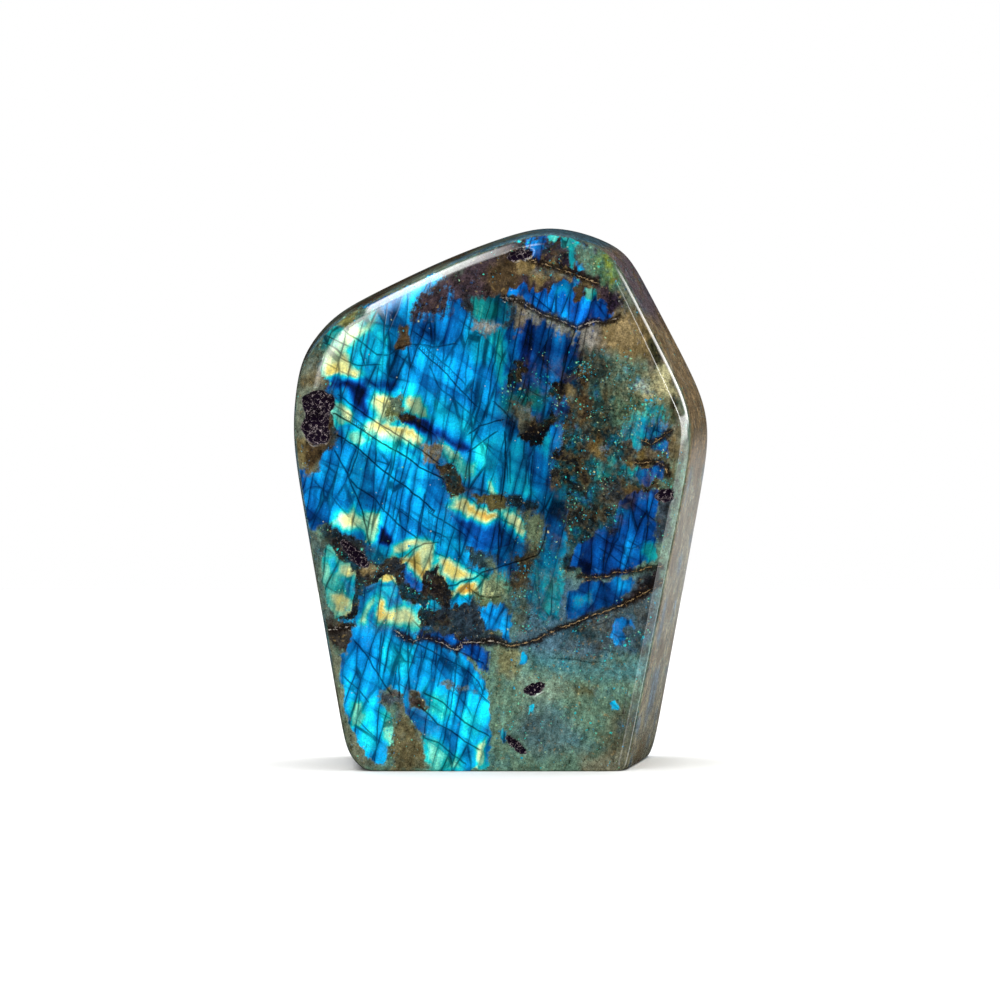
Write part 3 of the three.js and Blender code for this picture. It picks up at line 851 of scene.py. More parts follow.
    Flash(0.4, 0.6, "10.4,57 13,57 14,52 11.4,49 9.8,53", 0.8, strength=0.85),
    Ground("#5F7568", "0,38 5,41 6,36 5,30.8 1.6,31 0.6,35", 1.0, cover=0.7, tint=0.7),
    Ground("#25302F", "15.4,64 21,66 24,62 23,57 18,54.6 15,57", 1.2, cover=0.8),
    Flash(0.66, 0.6, "20,69.6 25,69.4 26,66 24,63.6 21,64.6", 0.8, strength=0.6),
    Flash(0.6, 0.55, "26,69 30,68.8 31.4,66.6 28,64.8", strength=0.85),
    Ground("#3C4A50", "20,64 27,65 29.4,62 26,59.6 22,60.6", 0.9, cover=0.7),
    Ground("#8A6E36", "19.6,73.4 23,72.6 23.4,70.4 20.6,69.4 19.4,71.4", 0.8, cover=0.9, tint=0.85),
    Ground("#8A7440", "26.6,70 32,70.4 33.6,69 33,67.6 30,68.2 27,68.6", 0.5, cover=0.9),
    Ground("#5C4A2E", "27,65.6 30,66 33,63.6 31.4,62.6 28,61.4 26.6,63", cover=0.9),
    Flash(0.27, 0.9, "29.6,65.6 31.6,67.6 34.4,68.4 36.4,67.6 36.6,65.6 34.6,63.9 32,63.9", 0.35),
    Flash(0.3, 0.8, "34.4,72 36.4,72.8 37.8,71.6 37,70 34.8,70.2", 0.5),
    Ground("#6A6044", "37.4,75 39.4,75.6 39.6,70 38.6,64 37.2,64.4 37.8,70", cover=0.95),
    Ground("#1C2C38", "13.4,48.8 16.8,48.8 17.2,44.4 13.6,43.4", 0.9, cover=0.75),
    # the navy lens at the right, crossed by dark seams
    Flash(0.22, 0.58, "16,45.4 16.4,49.6 20,52.6 24,55 28,61.8 31,62.8 34,63.6 35.4,60 35.6,53 33.8,49 "
          "31,45 27,44 23,43 18,43.6", 0.5),
    Flash(0.27, 0.7, "24.8,46 26,50.6 29,52.6 31,50 30.8,46 27.4,44.6", 0.8),
    Flash(0.66, 0.5, "31.4,50.6 34,50.8 34.6,47.6 32.4,46 31,48"),
    Ground(PLUM, "22.4,55.4 25.6,57 26.4,53.4 24,51.6", 0.8, cover=0.7, tint=0.8),
    Ground(INK, "30,64.2 35,63.6 35.4,61.6 31.6,62.4", 0.5, cover=0.85),
    Ground("#39434C", "34.4,60 38.4,62 37.4,52 35,49.6 34.2,54", 0.8, cover=0.75),
    Flash(0.27, 0.45, "15,40 19,42.6 24,42.2 29.4,43.2 29,40 26,37.2 21.6,35.6 15.4,34 14,37", 0.6),
    Flash(0.38, 0.62, "25,43 29.4,43.6 29.2,40.6 26,41"),
    Flash(0.5, 0.45, "15.6,38.6 20,40 20.4,37 16,35.6", 0.9, strength=0.8),
    Ground("#2B2628", "26.6,38.6 30,41.2 32,44.4 35,45 34.4,40.4 30.4,37.6 26.4,36", cover=0.9),
    Ground("#4A5A60", "19.6,33.6 26,36 33,38.6 34,33 31.6,26 22,27 18,30", 1.2, cover=0.9),
    Flash(0.3, 0.9, "23.4,30 25,32.8 26.6,33.8 29,33.6 29.6,32.6 27.6,31.4 27.2,29.2 26.4,26.8 "
          "25.2,28", 0.5, strength=0.95),
    Ground("#22404A", "12.6,32.4 19.4,33.6 20.4,29 13.6,28", 1.2, cover=0.8, tint=0.85),
    # the grey-green lower right
    Ground("#5D5C3E", "14.6,18.6 19,19.6 21.6,19.6 21,17 17,16.4", 1.0, tint=0.85),
    Flash(0.52, 1.0, "24,15 25.4,15.6 26.8,14 26.2,13.2 24.4,14", 0.25),
    Flash(0.55, 1.0, "6,14.2 6.8,14.7 7,12.9 6.2,12.6", 0.25),
    Flash(0.52, 0.95, "4.2,26 5,27 6.2,25.6 5.8,23.8 4.4,24", 0.4),
    Ground("#807F58", "-0.6,28 3.4,27.6 4,23 2,20 -1,21", 0.8, cover=0.9, tint=0.9),
    Flash(0.56, 0.75, "-0.3,9 0.8,9.2 1.2,6 0,6", 0.4, strength=0.9),
    Ground(DARK_SLATE, "5,12 8.6,12 8.6,8 5.4,7.6", 1.2, cover=0.7, tint=0.5),
    Ground("#8A8870", "18,3 30,4.4 27,-1 18,-1", 1.0, tint=0.8),
    # the round blue eye and the dark slate beside it
    Ground(DARK_SLATE, "-10.6,37 -6,37.4 -4,36 -4,31 1,30.6 2,28 -10,28 -18,31 -11,32", cover=0.95),
    Flash(0.40, 0.95, "-4.6,36 -2.6,37.2 0.4,36.8 1.9,34.6 1.8,31.4 2.2,29.6 0.6,28.8 0,31 -3.6,31.6", 0.6),
    # the azure and cyan lower left
    Ground("#3D3833", "-39,33 -33.6,32.6 -32.6,28 -34.6,26 -38,28", 0.5),
    Flash(0.44, 0.9, "-36.2,26 -34,26.8 -33.4,29 -33.6,32 -31,33 -28,32 -20,30.6 -14,29.2 -9,26.6 -6,23 "
          "-3,18 -2.4,12 -2.6,1 -12,-1 -17,3 -18,8 -21,13 -22.6,18 -26,18 -25.6,12 -24.6,6 -26,1.6 "
          "-28.4,1.8 -31,5 -33.6,10 -35.2,17 -36,22", 0.5),
    Flash(0.5, 1.2, "-35,21 -31,20.4 -27,17 -28,12 -31.6,9 -33.6,11 -35,17", 0.8),
    Flash(0.38, 0.85, "-33,31 -29.4,31.4 -27,27 -27,21.6 -33,22.4", 0.9),
    Flash(0.56, 1.0, "-26.6,29 -23,30.4 -20.6,27 -20.2,21 -24,20.4 -26.4,23", 0.8),
    Flash(0.2, 0.72, "-18,30 -12,27.6 -8,25.6 -3,22 -2,27 -6,29 -12,30", 0.8),
    Flash(0.36, 0.66, "-10,22 -7,24 -4,20 -4.6,17 -9,18", 0.8),
    Ground("#4E5D68", "-17,20.2 -12,20.4 -8,19 -4,17.4 -4.4,16.6 -9,17.6 "
           "-13,18.8", 0.4, cover=0.6, tint=0.8),
    Flash(0.62, 0.76, "-17.4,18.4 -12.4,17.4 -10.6,13 -13,11 -17.4,14", 0.8),
    Flash(0.5, 1.05, "-11,8 -6,8 -4,3 -7,0.4 -11,2", 0.9),
    Flash(0.55, 0.75, "-8.6,13 -6,14.6 -3.4,11.6 -3.4,8 -6,7 -8.6,9", 1.2),
    Flash(0.84, 1.0, "-5.8,6 -3.4,8 -3,1 -5.4,0.6", 0.9),
    Flash(0.76, 1.05, "-34,15.8 -31,16.2 -29.6,12.4 -30.6,9 -33.4,9.6", 0.8),
    Flash(0.58, 1.0, "-31,9 -28,10 -27,5 -30,3.4", 0.9),
    Flash(0.7, 0.95, "-27,14 -25,12.6 -23.6,9 -24,5.6 -26.4,7", 0.8),
    Ground("#453A33", "-20.8,18.4 -18.4,18.8 -17.8,16 -16.2,14.2 -18.6,14 -20.6,15.6", 0.5),
    Ground("#4A4C50", "-27.6,17.4 -24,18 -22,17.4 -22.4,14.6 -26.8,14.8", 0.6),
    Ground("#6B6446", "-23.4,12 -22.6,15 -20.8,12 -17,8 -17,1 -24.4,-1 -24.4,6"),
    Flash(0.7, 0.9, "-17,8 -13,7 -8.6,2.6 -8,0 -15,-1 -17,3", 0.8, strength=0.9),
    # the left edge: olive rind, the brown rim of the large pit and rusty stain
    Ground("#6A5E3C", "-46,74 -42,73.6 -41,68 -43,65 -46,70"),
    Ground("#6C654A", "-46,86 -41.6,90 -39.4,87.6 -38.2,85.6 -44,85.6", 0.8),
    Ground("#463824", "-39.4,79 -38.2,78.4 -37.6,76 -37,72.4 -39,71.2 -41.4,67 -43.4,67 -44,72.4 "
           "-41.6,73.4", 0.6),
    Ground("#6F7560", "-40,32 -36,25 -35,16 -33,8 -28,1 -34,-1 -41,20", 0.6),
)

# Sparkling zones, where the feldspar is broken into small crystals.
SPARKLES: tuple[Sparkle, ...] = (
    Sparkle(0.9, "17,93 24,92 34,90 38,80 38.5,70 38,62 30,60 27,56 22,53 15,51 13,58 11,68 13,76 14,84"),
    Sparkle(0.5, "0,84 5,92 14,92 16,84 13,78 6,76 0,78"),
    Sparkle(0.55, "3,46 8,52 14,54 15,46 14,36 9,30 2,30 0,36"),
    Sparkle(0.5, "12,24 16,34 30,38 36,40 34,24 26,21 14,21"),
    Sparkle(0.3, "-2,26 12,24 32,22 31,4 24,0 -3,0"),
    Sparkle(0.45, "2,116 8,121 20,120 28,108 20,106 8,110"),
    Sparkle(0.5, "-44,92 -40,96 -30,105 -14,113 -10,112 -26,104 -38,95 -42,88"),
    Sparkle(0.45, "-40,56 -36,50 -28,50 -22,46 -12,42 -10,32 -20,30 -38,32 -42,44"),
    Sparkle(0.5, "-16,74 -10,72 -6,66 -6,58 -12,57 -14,64"),
    Sparkle(0.4, "-26,18 -20,20 -14,16 -14,0 -26,0"),
)


class SeamKind(Enum):
    """The families of seams, each of which runs its own way."""

    FALLING = "seam_falling"    # dark cleavage cracks that fall to the right
    RISING = "seam_rising"      # dark cleavage cracks that stand nearly upright
    HEALED = "seam_healed"      # cracks healed with pale or gold mineral, in a dark band


# The seams of each family: the places on the line, from the left or for a rising one from below, and its
# look, which is how dark a crack is or how yellow the mineral of a healed one.
SEAMS: dict[SeamKind, tuple[tuple[str, float], ...]] = {
    SeamKind.FALLING: (
        ("-34.5,97.5 -31.5,95.5 -27.5,92.5 -25,92.3 -22.5,94 -20,95 -15,94.2 -10,95", 0.8),
        ("-37,92.5 -33,90.5 -31.5,90.1 -27,90.2", 0.8),
        ("-39,90.6 -36,89 -32.5,87.6", 0.6),
        ("-19.5,95 -12,88 -9,84.5 -5.5,81", 0.9),
        ("-18,95 -11.6,89.6 -7,85 -4.4,82", 0.7),
        ("-16,90 -14,85.5 -10,82 -7,79.5 -4.5,77", 0.7),
        ("-36,83.5 -33,81 -30,79 -26,76.5 -22,74 -16,70 -14,68.5", 0.9),
        ("-37,79.5 -32,76.5 -29,74.5 -25,72 -22,70.3 -18,67.5 -13,65", 1.0),
        ("-37.4,81.6 -33,78.6 -30,76.4", 0.7),
        ("-36,74.5 -33,72.5 -30,70 -27,67.5 -24,65 -21,63 -18.5,61 -15,58", 1.0),
        ("-34,65.5 -32,63 -28,60.5 -26,58 -23,55 -19,52", 0.9),
        ("-41,64 -37,60 -34,56.6", 0.6),
        ("-16,57.5 -12,55 -8,52.5", 0.8),
        ("-22,58 -17,54.4 -13,51.6", 0.6),
        ("-32.5,29 -29,24.5 -26,19.5 -24.5,17.5", 0.9),
        ("-35,21 -32,18.5 -29.5,15.5", 0.8),
        ("-20,28.8 -17,27.5 -13,25.5 -10,24 -7,22 -5,20 -4,17.5", 0.8),
        ("-14,30 -10,27 -7,25.5 -4,24", 0.8),
        ("-17,17.5 -13,15.3 -10,12.5 -7,10.3 -3,8", 0.9),
        ("-18.5,14.8 -16,12.7 -14,10.5 -11,9 -8,6.5 -5,5", 0.9),
        ("-17,7.5 -14,6.3 -11,4 -8,1.8", 0.8),
        ("-12,24 -8,20.6 -5,18.6", 0.5),
        # curved cracks round the gold seams and across the right-hand side
        ("-21.3,47.5 -19,49.5 -17,50.7 -14,50.9", 0.8),
        ("-12,41.2 -10,41.5 -9,42.2 -6,42.8 -4,44.2 0,45.5 2.5,46.3 5,47 8,48 9.5,51 10,54", 0.9),
        ("-7.5,41 -5,39 -3,38.6 -0.5,38.8", 0.7),
        ("-7,75 -4.5,76.7 -1,77.7 0,77.9", 0.9),
        ("-7,71 -4.5,72.8 -1,75.3", 0.9),
        ("-1.5,82 1,79.5 2.8,77.5", 0.8),
        ("11,25.3 16,24.8 20,24.2 22,24.5", 0.6),
        ("20.3,27.6 25,26.8", 0.5),
        ("20.5,32.3 22.5,33 25,34.5", 0.6),
        ("22,49.5 24.5,47.8 28,45.3", 0.7),
        ("20,53.4 24,50.6 29,49.4 33,51.4", 0.6),
    ),
    SeamKind.RISING: (
        ("-34,88 -33.3,91 -32.5,95.5", 0.9),
        ("-30,90 -31.3,93.5 -30.5,97", 0.8),
        ("-29.5,90 -29.3,92 -28,96", 0.6),
        ("-26.8,84 -26.2,92 -24.6,101", 0.6),
        ("-30,72 -28.6,77.5", 0.6),
        ("-33.8,65 -32,70 -31,76", 0.9),
        ("-29,50.5 -31,58 -33,63 -34,66 -37,71", 0.9),
        ("-26,58 -25,64 -23.5,70.5 -22,75.5", 0.9),
        ("-24,56 -23,62 -21.5,68 -20.5,73", 0.8),
        ("-18,53 -16.8,61.5", 0.8),
        ("-13.5,50.5 -12,59.5", 0.8),
        ("-9.4,72 -8.2,82 -7.4,92", 0.6),
        ("-13,75 -12.2,84 -10.6,95", 0.5),
        ("-3.2,79 -2,88 -0.2,98", 0.8),
        ("0,60 1,68 1,75", 1.0),
        ("2,64 2,71", 0.7),
        ("5.5,64 5.5,69", 0.7),
        ("6.7,61 6.5,65 7,70", 0.8),
        ("-0.8,46 -0.4,54 -0.2,58", 0.9),
        ("1.4,85 3,95 4.8,103", 0.8),
        ("8.6,86 9.8,94 11.4,100", 0.8),
        ("13.4,86 15,94 16.4,98", 0.9),
        ("17,88 18,94 19,98.6", 0.7),
        ("-27.5,22.5 -26.5,30.5", 0.8),
        ("-22.7,17 -22.5,25 -22,29", 0.8),
        ("-20.5,25 -19.5,28.5", 0.7),
        ("-18.5,21 -17.5,26.5", 0.7),
        ("-14,19 -12.3,25", 0.7),
        ("-13,6 -11,15 -10.2,20 -9.8,29", 0.8),
        ("-9,17 -8,20.5", 0.6),
        ("24,48 26,52 27,57", 0.7),
        ("31,45 31,49 32,54", 0.7),
    ),
    SeamKind.HEALED: (
        # the long one across the face, the one above it, and the crown's ragged ledges
        ("-39.5,31.3 -36,31.5 -34,32", 0.0),
        ("-23,31 -21,29.5 -19.4,28.8 -18.5,29.4 -16,29.6 -14.5,29 -12,28 -10,27 -8.5,28.6 -6,28.5 -2,29 "
         "-0.5,28.7 1,28", 0.15),
        ("1,28 3,28 6,28.7 8,29.2 10,30.4 13,31.7 16,32.7 19.5,34.5 23,35.5 26,36.5 29,38 31.5,39.3 34,41 "
         "36,42", 0.8),
        ("17.5,43.3 19.5,43 22,43.3 23.5,43 25,44 28,44.2 31,44.5 33,45.3 35.5,45.6", 0.9),
        ("0.5,105 3.5,104.7 5,103.8 7,102.6 9,101.6 10.5,101.2 12,100.5 13.5,100 15.5,99.2 16.5,98.4 18,99 "
         "19.5,99.6 21,100 23,99.6 25,100.3 26,101", 0.1),
        ("4,114.5 8,113 11,112 14,111 17,110.3 20,109 21,108.6", 0.75),
        ("30,68.4 31.5,68.2 33,68.8 35,68.6 36.6,67.6 37,65.8", 0.8),
        ("31.4,73.2 33.4,72.6 35.6,74 37.6,75.4", 0.9),
    ),
}


def run_distance(x: Array, z: Array, run: str) -> tuple[Array, Array]:
    """How far places lie from an open line.

    Args:
        x: The places' X.
        z: The places' Z.
        run: The places on the line.

    Returns:
        The distance to the nearest segment, and the same with a minus sign to the line's right.
    """
    places = points(run)
    nearest = np.full(x.shape, np.inf)
    signed = np.full(x.shape, np.inf)
    for (ax, az), (bx, bz) in zip(places[:-1], places[1:]):
        ex, ez = bx - ax, bz - az
        share = np.clip(((x - ax) * ex + (z - az) * ez) / (ex * ex + ez * ez), 0, 1)
        away = np.hypot(x - ax - share * ex, z - az - share * ez)
        left = np.where(ex * (z - az) - ez * (x - ax) >= 0, 1.0, -1.0)
        signed = np.where(away < nearest, away * left, signed)
        nearest = np.minimum(away, nearest)
    return nearest, signed


@dataclass(frozen=True)
class Cleavage:
    """How the feldspar parts: the slopes of its two families of planes, seen from the front, in degrees
    from +X, and how far the colours' edges stray along the steep ones."""

    steep: float = 78.0
    falling: float = -36.0
    stray: float = 1.5
    comb: Triple = (0.7, 5.0, 7.0)   # across, through and along the steep planes


@dataclass
class Paint:
    """What lies under the polish at each point of the surface."""

    places: Array
    normals: Array
    cleavage: Cleavage = field(default_factory=Cleavage)

    def __post_init__(self) -> None:
        """Start from bare ground, and note which points the face's markings reach."""
        count = len(self.places)
        self.front = smooth(-self.normals[:, 1], 0.2, 0.5)
        self.level = np.full(count, AZURE)
        self.shade = np.full(count, 0.9)
        self.flash = np.zeros(count)
        self.sparkle = np.full(count, 0.35)
        self.crumb = np.zeros(count)
        self.ground = np.tile(linear(OLIVE), (count, 1))
        self.ragged = 0.5 * lattice_noise(self.places, 2.1, 81) + 0.6 * lattice_noise(self.places, 0.9, 82)
        self.seams: dict[SeamKind, Array] = {}

    def wander(self, seed: int) -> Array:
        """Noise with waves of 3.4, 1.3 and 0.6 mm together, in millimetres, by which edges stray."""
        return sum(share * lattice_noise(self.places, wave, seed + i)
                   for i, (share, wave) in enumerate(((0.5, 3.4), (0.3, 1.3), (0.2, 0.6))))

    def strayed(self) -> tuple[Array, Array]:
        """X and Z of every point, moved a little so that edges are ragged, most along the steep planes and
        most of all towards the upper right."""
        slope = math.radians(self.cleavage.steep)
        x, y, z = self.places.T
        along = x * math.cos(slope) + z * math.sin(slope)
        across = x * math.sin(slope) - z * math.cos(slope)
        teeth = lattice_noise(np.column_stack((across, y, along)), self.cleavage.comb, 11)
        comb = self.cleavage.stray * teeth * (0.25 + 0.75 * smooth(x + z, 75.0, 95.0))
        return x + self.wander(21) + comb * math.cos(slope), z + self.wander(31) + comb * math.sin(slope)

    def lay_sides(self) -> None:
        """Paint what the face's markings don't reach, from noise in all three directions.

        The ground runs from olive to brown and slate. Flashes show where one noise is high, at the
        level that another gives.
        """
        x, _, z = self.places.T
        broad = lattice_noise(self.places, 15.0, 41)
        patchy = lattice_noise(self.places, 5.0, 42) + 0.3 * self.ragged
        # painted light: side picks out the face that looks to +X, whose brown, grey, purple and blue below
        # are painted lighter than that rind is, since the lamps light it little
        side = smooth(self.normals[:, 0], 0.4, 0.8)
        upper = smooth(z + 2.5 * patchy, 64.5, 67.5)
        for colour, over in ((BROWN, smooth(broad + 0.4 * patchy, 0.1, 0.4)),
                             (SLATE, smooth(-broad + 0.4 * patchy, 0.1, 0.4)),
                             ("#A88F6B", side * upper), ("#AEA88C", side * (1 - upper)),
                             ("#7A6A72", side * smooth(z + 3 * patchy, 97, 102)),
                             ("#8A7350", side * smooth(patchy + 0.3 * broad, 0.1, 0.5) * 0.8),
                             ("#7F97A6", side * smooth(-patchy, 0.25, 0.6) * (1 - upper))):
            self.ground += (linear(colour) - self.ground) * over[:, None]
        back = smooth(self.normals[:, 1], 0.2, 0.6)
        shows = lattice_noise(self.places, 17.0, 43) + 0.35 * lattice_noise(self.places, 4.0, 44)
        self.flash = smooth(shows, 0.05, 0.2) * (0.2 + 0.75 * back)
        self.flash += smooth(shows + 0.45, 0.05, 0.2) * 0.7 * back
        self.flash = np.clip(self.flash, 0, 1) * (1 - 0.8 * side)
        self.level = np.clip(0.42 + 0.62 * lattice_noise(self.places, 12.0, 45), 0.05, 0.97)
        self.shade = 0.75 + 0.2 * lattice_noise(self.places, 6.0, 46)

    def lay_crumb(self, pits: tuple[Pit, ...]) -> None:
        """Paint the pits' crumbly floors and rims: crumb is 1 inside a pit and fades over its rim."""
        x, _, z = self.places.T
        for pit in pits:
            facing = smooth(self.normals[:, 1] * pit.face.value, 0.1, 0.3)
            self.crumb = np.maximum(self.crumb, facing * smooth(-pit.reach(x, z), -1.12, -0.98))

    def lay_seams(self) -> None:
        """Note for each family how far every point is from its nearest seam, and how that one looks.

        A family's table holds the distance with a sign, by which a line thinner than the mesh still shows
        sharp, the same without it, and the look. Off the face no seam is near.
        """
        none_near = 50.0
        x, z = self.places[:, 0] + 0.35 * self.wander(51), self.places[:, 2] + 0.35 * self.wander(61)
        for kind, seams in SEAMS.items():
            nearest = np.full(len(x), none_near)
            signed, look = nearest.copy(), np.zeros(len(x))
            for run, own_look in seams:
                away, side = run_distance(x, z, run)
                closer = away < nearest
                signed = np.where(closer, side, signed)
                look = np.where(closer, own_look, look)
                nearest = np.where(closer, away, nearest)
            nearest = nearest + none_near * (1 - self.front)
            self.seams[kind] = np.column_stack((signed, nearest, look))

    def apply(self, pits: tuple[Pit, ...]) -> None:
        """Paint everything, from the sides to the markings on top."""
        self.lay_sides()
        x, z = self.strayed()
        self.ground += (linear(GREEN_GREY) - self.ground) * self.front[:, None]
        self.flash *= 1 - self.front
        self.sparkle *= 1 - 0.9 * self.front
        for patch in (*MARKINGS, *SPARKLES):
            patch.lay(self, outline_distance(x, z, patch.run))
        self.lay_crumb(pits)
        self.lay_seams()


@dataclass
class Stone:
    """The polished stone as one piece: its fine mesh, its pits, what is painted in it and its finish."""

    name: str = "polished_stone"
    replaced: str = "stone"
    slot: str = "labradorite"
    shape: StoneShape = field(default_factory=StoneShape)
    crumb_height: float = 0.28      # how far a pit's floor is broken up

    def sink_pits(self, places: Array, normals: Array) -> Array:
        """Move the points of each pit into the stone, straight back from the face it is in.

        A point goes in by the pit's depth there and by a rough noise that fades out at the rim.

        Args:
            places: The ground surface's points.
            normals: Their normals.

        Returns:
            The moved points.
        """
        moved = places.copy()
        rough = 0.6 * lattice_noise(places, 1.3, 71) + 0.4 * lattice_noise(places, 0.75, 72)
        for pit in self.shape.pits:
            x, z = places[:, 0], places[:, 2]
            facing = smooth(normals[:, 1] * pit.face.value, 0.1, 0.4)
            depth = pit.depth(x, z)
            floor = smooth(depth, 0.3 * pit.deep, 0.8 * pit.deep)
            moved[:, 1] -= pit.face.value * facing * (depth + floor * self.crumb_height * (rough - 0.4))
        return moved

    def make(self) -> bpy.types.Object:
        """Make the mesh, its map and its painted attributes, dress it and tie it to the frame."""
        fine = self.shape.build()
        paint = Paint(fine.places, fine.normals)
        paint.apply(self.shape.pits)
        places = self.sink_pits(fine.places, fine.normals)
        mesh = bpy.data.meshes.new(self.name)
        corners = np.concatenate([faces.ravel() for faces in fine.faces])
        sizes = np.concatenate([np.full(len(faces), faces.shape[1]) for faces in fine.faces])
        mesh.vertices.add(len(places))
        mesh.vertices.foreach_set("co", (places * MM).astype(np.float32).ravel())
        mesh.loops.add(len(corners))
        mesh.loops.foreach_set("vertex_index", corners.astype(np.int32))
        mesh.polygons.add(len(sizes))
        mesh.polygons.foreach_set("loop_start", np.append(0, np.cumsum(sizes)[:-1]).astype(np.int32))
        mesh.polygons.foreach_set("use_smooth", np.ones(len(sizes), bool))
        chart = mesh.uv_layers.new(name=BAKE_MAP)
        mesh.update(calc_edges=True)
        mapped = np.concatenate([part.reshape(-1, 2) for part in fine.maps])
        chart.data.foreach_set("uv", mapped.astype(np.float32).ravel())
        self.store(mesh, "flash", np.column_stack((paint.level, paint.flash, paint.shade)))
        self.store(mesh, "ground", paint.ground)
        self.store(mesh, "crystal", np.column_stack((paint.sparkle, paint.crumb, paint.front)))
        for kind, table in paint.seams.items():
            self.store(mesh, kind.value, table)
        mesh.validate()
        stone = bpy.data.objects.new(self.name, mesh)
        bpy.context.scene.collection.objects.link(stone)
        mesh.materials.append(Labradorite().make())
        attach(stone, "root")
        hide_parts(self.replaced)
        log.info("%s: %d points, %d faces", self.name, len(places), len(sizes))
        return stone

    @staticmethod
    def store(mesh: bpy.types.Mesh, name: str, table: Array) -> None:
        """Keep three values for each point of a mesh under a name that the material reads."""
        attribute = mesh.attributes.new(name, "FLOAT_VECTOR", "POINT")
        attribute.data.foreach_set("vector", table.astype(np.float32).ravel())


Tree, Node, Socket = bpy.types.NodeTree, bpy.types.Node, bpy.types.NodeSocket
Source = Node | Socket
Parts = list[tuple[Source, Source]]
Stops = tuple[tuple[float, str], ...]

# What the second word of a node's kind sets.
OPTIONS = {"Math": "operation", "VectorMath": "operation", "MapRange": "interpolation_type",
           "Mix": "data_type", "TexNoise": "noise_dimensions", "TexVoronoi": "feature",
           "Mapping": "vector_type"}


def add(tree: Tree, kind: str, *values: object, **named: object) -> Node:
    """Add a shader node and fill its inputs.

    A value is a socket, a node for its first output, a number, a row of numbers or a hex colour.

    Args:
        tree: The node tree.
        kind: The node's type without its ShaderNode prefix and, after a space, its main option.
        values: What goes into the inputs that the node shows, in turn.
        named: The same by an input's name, or what a property of the node is set to. stops holds a
            colour ramp's places and hex colours.

    Returns:
        The node.
    """
    kind, _, option = kind.partition(" ")
    node = tree.nodes.new("ShaderNode" + kind)
    if option:
        setattr(node, OPTIONS[kind], option)
    shown = [socket for socket in node.inputs if socket.enabled]
    by_name = {socket.name.lower().replace(" ", "_"): socket for socket in shown}
    stops = named.pop("stops", None)
    if stops:
        elements = node.color_ramp.elements
        for place, colour in stops[1:-1]:
            elements.new(place).color = rgba(colour)
        for end in (0, -1):
            elements[end].position, elements[end].color = stops[end][0], rgba(stops[end][1])
    for name, value in (*enumerate(values), *named.items()):
        socket = shown[name] if isinstance(name, int) else by_name.get(name)
        if socket is None:
            setattr(node, name, value)
        elif isinstance(value, Node):
            tree.links.new(next(out for out in value.outputs if out.enabled), socket)
        elif isinstance(value, Socket):
            tree.links.new(value, socket)
        else:
            socket.default_value = rgba(value) if isinstance(value, str) else value
    return node


def chain(tree: Tree, kind: str, *values: Source | float) -> Source:
    """Join values in turn by nodes of one kind, as in the product of three or the largest of five."""
    return reduce(lambda so_far, value: add(tree, kind, so_far, value), values)


def blank(owner: bpy.types.Material | bpy.types.World) -> Tree:
    """Give a material or a world an empty node tree."""
    owner.use_nodes = True
    owner.node_tree.nodes.clear()
    return owner.node_tree


